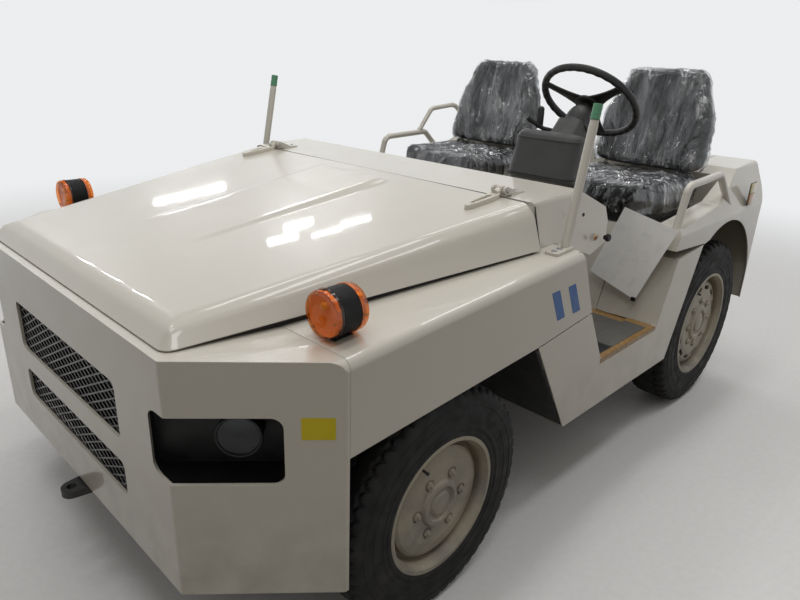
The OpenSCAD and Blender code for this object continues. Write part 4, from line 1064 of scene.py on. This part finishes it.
def make_pod_trim():
    """The driver's side of the dash pod: gauges with needles and marks, and two switches."""
    faces, rings, needles, switches = Shapes(), Shapes(), Shapes(), Shapes()
    back = Vector((-1, 0, 0))
    for y, z, r in ((0.362, 1.208, 0.026), (0.572, 1.208, 0.026), (0.572, 1.142, 0.02)):
        at = Vector((-0.0655, y, z))
        rings.turn([(r + a, h) for a, h in mm((-3, 1), (-2, 6), (0, 7), (3, 5), (3.5, -4))], at, back, 40)
        faces.turn([(r - 0.002, 0.0022), (0, 0.0022)], at, back, 40)
        middle = at + back * 0.0035
        needles.add(*tube([middle, middle + Vector((0, r * 0.55, r * 0.45))], 0.0008, 6))
        for k in range(9):
            a = math.radians(-30 + 30 * k)
            way = Vector((0, math.cos(a), math.sin(a)))
            mark = at + back * 0.003
            needles.add(*tube([mark + way * (r - 0.0085), mark + way * (r - 0.0045)], 0.0006, 4))
    for y in (0.35, 0.376):
        switches.block((-0.072, y - 0.008, 1.132), (-0.063, y + 0.008, 1.156), 0.0015)
        switches.block((-0.0765, y - 0.0055, 1.142), (-0.07, y + 0.0055, 1.153), 0.0012)
    rings.make("gauge_rings", "steel", "steel", smooth=True)
    faces.make("gauge_faces", "lamp_black", "lamp_black", smooth=True)
    needles.make("gauge_marks", "paper", "lamp_black", smooth=True)
    switches.make("pod_switches", "grip", "pod")


def make_cowl_trim():
    """Plug, keyhole with its ring and a fluted black knob on the left end of the cowl."""
    out = Vector((0, 1, 0.1))
    small, ring = Shapes(), Shapes()
    small.turn(mm((0, 1.2), (5.5, 1.2), (6.2, 0.4), (6.2, -2)), (0.221, 0.7835, 1.062), out, 24)
    small.turn(mm((0, 1.6), (5.2, 1.4), (5.6, -2)), (0.118, 0.7835, 0.967), out, 24)
    knob = mm((0, 18), (11.5, 16.5), (13, 14), (13, 6), (8.5, 5), (8, -4))
    small.turn(knob, (0.046, 0.7825, 0.956), out, 32,
               lambda k, q, h, a: (q * (1 + 0.03 * math.cos(a * 14)), h))
    small.make("cowl_controls", "lamp_black", "lamp_black", sharp=40)
    ring.turn(mm((5.6, 1.6), (8.5, 1.6), (10, 0.4), (10.2, -2)), (0.116, 0.7833, 0.967), out, 32)
    ring.make("key_ring", "dull_amber", "amber", smooth=True)


def make_step():
    """Grey mats on the floor and the threshold, a ribbed patch, and worn brown tape at the edges."""
    mats, patch = Shapes(), Shapes()
    mats.block((-0.268, 0.4, 0.5403), (0.08, 0.757, 0.5432), 0.001)
    mats.block((-0.268, 0.762, 0.5503), (0.128, 0.852, 0.552), 0.0006)
    mats.make("step_mats", "grey_mat", "lamp_black")
    for i in range(7):
        x = 0.012 + 0.013 * i
        patch.block((x, 0.792, 0.5515), (x + 0.008, 0.846, 0.5542), 0.0008)
    patch.block((0.006, 0.786, 0.5517), (0.104, 0.851, 0.5526), 0.0004)
    patch.make("ribbed_patch", "rubber", "lamp_black")
    for name, x0, x1, y0, y1, z in (("outer", -0.308, 0.132, 0.853, 0.8745, 0.5508),
                                    ("rear", -0.312, -0.27, 0.757, 0.853, 0.5508),
                                    ("foot", -0.323, -0.27, 0.43, 0.7595, 0.5408)):
        plate(f"step_tape_{name}", [(x0, y0, z), (x1, y0, z), (x1, y1, z), (x0, y1, z)], (0, 0, 1), 0.0006,
              "brown_tape", lambda u, w: 0.0008 * abs(noise.noise(Vector((u * 9, w * 3, 2)))), 20)
    side = ((-0.308, 0.5512), (0.132, 0.5512), (0.132, 0.532), (-0.308, 0.536))
    plate("step_tape_side", [(x, 0.8756, z) for x, z in side], (0, 1, 0), 0.0006, "brown_tape", cuts=20)


def make_pedal_pads():
    """Ribbed rubber pads on the pedals."""
    pads = Shapes()
    lean = Matrix.Rotation(math.radians(33), 3, "Y")
    for y, w, h in ((0.33, 0.058, 0.105), (0.45, 0.082, 0.06), (0.56, 0.072, 0.06)):
        rows, half = round(h / 0.012), Vector((0.0022, w / 2 - 0.007, 0.0036))
        for i in range(rows):
            along = Vector((-0.0018, 0, -h / 2 + h * (i + 0.5) / rows))
            middle = Vector((0.15, y, 0.655)) + lean @ along
            pads.block(middle - half, middle + half, 0.001, lean)
    pads.make("pedal_pads", "rubber", "lamp_black")


FILLER_CAP = mm((0, 26), (26, 24), (30, 18), (30, 4), (24, 0), (24, -4))
FAN_HUB = mm((0, 30), (50, 28), (60, 20), (60, -20), (0, -20))
FAN_SHAFT = mm((30, -18), (30, -312), (0, -312))
AIR_DRUM = mm((0, 300), (60, 300), (82, 292), (86, 270), (80, 262), (80, 60), (88, 56), (88, 40), (80, 36),
              (80, 6), (70, 0), (0, 0))
BATTERY_POST = mm((0, 22), (8, 21), (9.2, 0), (15, -1), (15, -4))


def make_engine_top():
    """Valve cover with its ribs and bolts, two manifolds on four branches each, and the filler cap."""
    cover, bolts = Shapes(), Shapes()
    cover.block((0.56, -0.095, 0.898), (1.06, 0.095, 0.935), 0.006)
    cover.block((0.585, -0.072, 0.93), (1.035, 0.072, 0.958), 0.012)
    for i in range(4):
        x = 0.65 + 0.1 * i
        cover.block((x - 0.006, -0.06, 0.955), (x + 0.006, 0.06, 0.963), 0.002)
        for s in (1, -1):
            bolts.bolt((x - 0.03, s * 0.084, 0.935), (0, 0, 1), 0.0075)
            path = ((0.09, 0.905), (0.15, 0.9), (0.235, 0.875), (0.282, 0.8))
            cover.add(*tube([(x, s * y, z) for y, z in path], 0.019, 16))
    for s in (1, -1):
        cover.block((0.61, s * 0.296 - 0.028, 0.755), (0.99, s * 0.296 + 0.028, 0.812), 0.012)
    cover.turn(FILLER_CAP, (0.61, 0.03, 0.957), (0, 0, 1), 32)
    cover.make("engine_top", "cast_iron", "iron", sharp=35)
    bolts.make("engine_bolts", "steel", "steel", sharp=30)


def make_fan():
    """Six twisted blades on a hub, with the shaft that drives it."""
    fan = Shapes()
    middle, ahead = Vector((1.44, 0, 0.655)), Vector((1, 0, 0))
    fan.turn(FAN_HUB, middle, ahead, 32)
    fan.turn(FAN_SHAFT, middle, ahead, 24)
    for i in range(6):
        a = math.radians(60 * i)
        out, turn = Vector((0, math.cos(a), math.sin(a))), Vector((0, -math.sin(a), math.cos(a)))
        rings = []
        for k in range(9):
            t = k / 8
            wide, pitch = 0.03 + 0.03 * t, math.radians(48 - 22 * t)
            chord = turn * math.cos(pitch) + ahead * math.sin(pitch)
            face = ahead * math.cos(pitch) - turn * math.sin(pitch)
            turns = [2 * math.pi * q / 10 for q in range(10)]
            rings.append([middle + out * (0.052 + 0.128 * t) + chord * (wide * math.cos(b))
                          + face * (0.003 * math.sin(b)) for b in turns])
        fan.add(*loft(rings))
    fan.make("cooling_fan", "lamp_black", "lamp_black", sharp=40)


def make_bay_boxes():
    """Air cleaner on its bracket, and the battery with its posts."""
    cleaner, battery, posts = Shapes(), Shapes(), Shapes()
    cleaner.turn(AIR_DRUM, (0.56, 0.455, 0.76), (1, 0, 0), 48)
    for x in (0.64, 0.78):
        cleaner.block((x - 0.012, 0.395, 0.6), (x + 0.012, 0.515, 0.69), 0.003)
    cleaner.make("air_cleaner", "black_paint", "black_paint", sharp=35)
    battery.block((0.56, -0.545, 0.61), (0.83, -0.37, 0.805), 0.006)
    battery.block((0.556, -0.549, 0.79), (0.834, -0.366, 0.806), 0.004)
    battery.block((0.575, -0.492, 0.804), (0.815, -0.423, 0.818), 0.004)
    battery.make("battery", "rubber", "lamp_black")
    for x in (0.59, 0.8):
        posts.turn(BATTERY_POST, (x, -0.52, 0.808), (0, 0, 1), 20)
    posts.make("battery_posts", "steel", "steel", sharp=30)


for side, s in SIDES:
    make_marker_lamp(side, s)
    make_tail_lamp(side, s)
make_engine_top()
make_fan()
make_bay_boxes()
make_dash_pod()
make_pod_trim()
make_cowl_trim()
make_step()
make_pedal_pads()

# Seats
SEAT_Y = (("driver", 0.455), ("passenger", -0.455))
PAD_LENGTH = {"back": 0.446, "seat": 0.5}
BOLSTER = 0.085
SEWN_LINES = (-0.11, -0.055, 0.0, 0.055, 0.11)
# Half the width of a sewn line, and how far the cover starts inside its real size and may swell
SEWN_HALF, SHRUNK, SWELL_CAP = 0.0045, 0.01, 0.016


def seat_frame(kind, y):
    """Matrix of a pad (across, up or back along it, out of its face) and the middle of its near edge."""
    if kind == "back":
        lean = math.radians(12)
        up = Vector((-math.sin(lean), 0, math.cos(lean)))
        out = Vector((math.cos(lean), 0, math.sin(lean)))
        return Matrix((Vector((0, 1, 0)), up, out)).transposed(), Vector((-0.905, y, 1.0645)) - out * 0.042
    return Matrix(((0, 1, 0), (-1, 0, 0), (0, 0, 1))).transposed(), Vector((-0.44, y, 0.8955))


def pad_half(kind, t):
    """Half width of a pad at a share of its length."""
    if kind == "back":
        return 0.258 - 0.074 * ease((t - 0.45) / 0.55)
    return 0.248 - 0.018 * ease((0.25 - t) / 0.25)


def pad_height(kind, across, t):
    """Thickness over the base: a middle panel between two raised side bolsters."""
    half, length = pad_half(kind, t), PAD_LENGTH[kind]
    d = min(half - abs(across), t * length, (1 - t) * length)
    edge = math.sqrt(max(0.0, 1 - (1 - min(d / 0.034, 1.0)) ** 2))
    rise = math.sin(min(max((abs(across) - half + BOLSTER) / BOLSTER, 0), 1) * math.pi * 0.75)
    if kind == "back":
        rise *= 1 - ease((t - 0.6) / 0.3)
        full = 0.078 - 0.01 * t + 0.016 * rise
    else:
        full = 0.15 + 0.01 * ease((0.3 - t) / 0.3) + 0.02 * rise
    return full * (0.55 + 0.45 * edge)


def pad_mesh(kind, turn, base):
    """Two layers of a pad with rounded corners, closer rows near its edges."""
    n, corner = 44, 0.26
    verts = []
    for layer in (0, 1):
        for i in range(n + 1):
            for j in range(n + 1):
                a, b = -math.cos(math.pi * i / n), -math.cos(math.pi * j / n)
                half = pad_half(kind, b / 2 + 0.5)
                ca, cb = (max(abs(v) - (1 - corner), 0) / corner for v in (a, b))
                if ca > 0 and cb > 0:
                    k = corner * max(ca, cb) / math.hypot(ca, cb)
                    a, b = math.copysign(1 - corner + ca * k, a), math.copysign(1 - corner + cb * k, b)
                x, t = a * half, b / 2 + 0.5
                h = pad_height(kind, x, t) if layer else 0.0
                verts.append(base + turn @ Vector((x, t * PAD_LENGTH[kind], h)))
    return verts, slab(n + 1)


def remeshed(obj, voxel):
    mod = obj.modifiers.new("voxels", "REMESH")
    mod.mode, mod.voxel_size = "VOXEL", voxel
    bake(obj)


def sewn(kind, p):
    """How firmly the cover is held at a point of the pad: at its base, its seams and its channels."""
    t = p.y / PAD_LENGTH[kind]
    if p.z < 0.012:
        return 1.0
    seam = pad_half(kind, t) - BOLSTER
    if p.z < 0.045 or not 0.1 < t < 0.93:
        return 0.0
    for at in SEWN_LINES + (seam, -seam):
        if abs(at) <= seam + 1e-6 and abs(p.x - at) < SEWN_HALF:
            return 1.0
    return 0.0


def swell(pad, kind, local):
    """Stuffs the cover: cloth under pressure, held at the sewn lines, moved no more than a cap."""
    for v in pad.data.vertices:
        v.co -= v.normal * SHRUNK
    start = [v.co.copy() for v in pad.data.vertices]
    group = pad.vertex_groups.new(name="sewn")
    for v in pad.data.vertices:
        hold = sewn(kind, local(v.co))
        if hold:
            group.add([v.index], hold, "REPLACE")
    cloth = pad.modifiers.new("stuffing", "CLOTH")
    cloth.settings.vertex_group_mass = "sewn"
    cloth.settings.use_pressure = True
    cloth.settings.uniform_pressure_force = 4
    cloth.settings.effector_weights.gravity = 0
    cloth.settings.quality = 4
    cloth.point_cache.frame_start, cloth.point_cache.frame_end = 1, 20
    for frame_number in range(1, 21):
        scene.frame_set(frame_number)
    bake(pad)
    scene.frame_set(1)
    for v, first in zip(pad.data.vertices, start):
        move = v.co - first
        if move.length > SWELL_CAP:
            v.co = first + move * (SWELL_CAP / move.length)
    smoothed(pad, 2)
    fine = pad.modifiers.new("fine", "SUBSURF")
    fine.levels = fine.render_levels = 1
    bake(pad)


def smoothed(obj, times):
    bm = bmesh.new()
    bm.from_mesh(obj.data)
    for _ in range(times):
        bmesh.ops.smooth_vert(bm, verts=bm.verts, factor=0.5, use_axis_x=True, use_axis_y=True,
                              use_axis_z=True)
    bm.to_mesh(obj.data)
    bm.free()


def quilt(pad, kind, turn, local):
    """Draws the sewn channels of the middle panel and its two side seams into the cover."""
    for v in pad.data.vertices:
        p = local(v.co)
        t = p.y / PAD_LENGTH[kind]
        seam = pad_half(kind, t) - BOLSTER
        if p.z < 0.045 or abs(p.x) > seam + 0.03:
            continue
        inside = ease((seam + 0.004 - abs(p.x)) / 0.004) * ease((t - 0.06) / 0.06) * ease((0.95 - t) / 0.05)
        depth = max(math.exp(-((p.x - at) / 0.0065) ** 2) for at in SEWN_LINES) * 0.008 * inside
        depth = max(depth, math.exp(-((abs(p.x) - seam) / 0.007) ** 2) * 0.01)
        v.co -= turn @ Vector((0, 0, 1)) * depth


def make_pad(who, kind, turn, base, local):
    """A stuffed pad: woven on its middle panel, plain elsewhere."""
    node = f"{who}_{'back' if kind == 'back' else 'cushion'}"
    pad = piece(f"{who}_{kind}_pad", *pad_mesh(kind, turn, base), "seat", "seat", replaces=(node,))
    remeshed(pad, 0.008)
    swell(pad, kind, local)
    quilt(pad, kind, turn, local)
    fewer = pad.modifiers.new("fewer", "DECIMATE")
    fewer.ratio = 0.5
    bake(pad)
    pad.data.materials.clear()
    for mat in ("seat", "fabric"):
        pad.data.materials.append(M[mat])
    for poly in pad.data.polygons:
        poly.use_smooth = True
        p = local(poly.center)
        inside = abs(p.x) < pad_half(kind, p.y / PAD_LENGTH[kind]) - BOLSTER
        faces_out = (turn.inverted() @ poly.normal).z > 0.2
        poly.material_index = 1 if inside and p.z > 0.05 and faces_out else 0
    return pad


def crest(x, y, z, steep, power):
    """1 along the lines where a noise crosses zero, falling off to both sides."""
    return (1 - min(abs(noise.noise(Vector((x, y, z)))) * steep, 1)) ** power


def folds(p, kind, seed):
    """Height of the film's folds: long ones that fan out, sharp ridges, and gathers where the pads meet."""
    if kind == "back":
        across, along = p.x * 0.6 / (0.3 + max(p.y, 0)), p.y
    else:
        across, along = p.y - 0.5 * p.x, p.x + 0.5 * p.y
    wave = noise.noise(Vector((across * 13, along * 2.0, p.z * 5 + seed)))
    ridge = crest(across * 22, along * 2.4, p.z * 3 - seed, 3.0, 3)
    small = crest(across * 50 + 7, along * 6, p.z * 8 + seed, 2.6, 2)
    meet = p.y if kind == "back" else PAD_LENGTH["seat"] - p.y
    gather = ease(1 - meet / 0.16) * crest(p.x * 17, p.y * 5, seed, 2.4, 2)
    return 0.006 * wave + 0.011 * ridge + 0.0018 * small + 0.02 * gather


def film_lift(p, kind, seed):
    """How far the film stands off the pad at a point: calmer towards its outline."""
    side = abs(p.x) / pad_half(kind, min(max(p.y / PAD_LENGTH[kind], 0), 1))
    flare, calm = 0.004, ease((side - 0.78) / 0.2)
    if kind == "back":
        # the bag stands off the narrow top corners and hangs loose low on the sides
        flare += 0.005 * ease((p.y - 0.28) / 0.16) * ease((side - 0.5) / 0.4)
        flare += 0.014 * ease((0.2 - p.y) / 0.2) * ease((side - 0.8) / 0.2)
        calm = max(calm, ease((p.y / PAD_LENGTH[kind] - 0.85) / 0.15))
    return max(0.0025, 0.004 + flare + (1 - 0.65 * calm) * folds(p, kind, seed))


def make_film(who, kind, seed, pad, local):
    """Clear bag over a pad: its cover pushed outwards, creased and cut open underneath."""
    film = pad.copy()
    film.data = pad.data.copy()
    film.name = f"{who}_{kind}_film"
    film.vertex_groups.clear()
    for key in list(film.keys()):
        del film[key]
    scene.collection.objects.link(film)
    remeshed(film, 0.0105)
    smoothed(film, 4)
    bm = bmesh.new()
    bm.from_mesh(film.data)
    bm.normal_update()
    # the open edge lies a little above the lowest point
    axis, open_at = (1, 0.014) if kind == "back" else (2, 0.036)
    depth = [local(v.co)[axis] for v in bm.verts]
    cut = min(depth) + open_at
    drop = [v for v, d in zip(bm.verts, depth) if d < cut]
    bmesh.ops.delete(bm, geom=drop, context="VERTS")
    bmesh.ops.subdivide_edges(bm, edges=bm.edges[:], cuts=1, use_grid_fill=True)
    bm.normal_update()
    for v in bm.verts:
        v.co += v.normal * film_lift(local(v.co), kind, seed)
    area = sum(f.calc_area() for f in bm.faces)
    bm.to_mesh(film.data)
    bm.free()
    film.data.materials.clear()
    film.data.materials.append(M["film"])
    film.data.polygons.foreach_set("use_smooth", [True] * len(film.data.polygons))
    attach(film, "chassis")


def make_seat_part(who, kind, y):
    turn, base = seat_frame(kind, y)
    back = turn.inverted()

    def local(co):
        """A point in the pad's own frame."""
        return back @ (co - base)

    make_film(who, kind, y * 9, make_pad(who, kind, turn, base, local), local)


for who, y in SEAT_Y:
    for kind in ("back", "seat"):
        make_seat_part(who, kind, y)
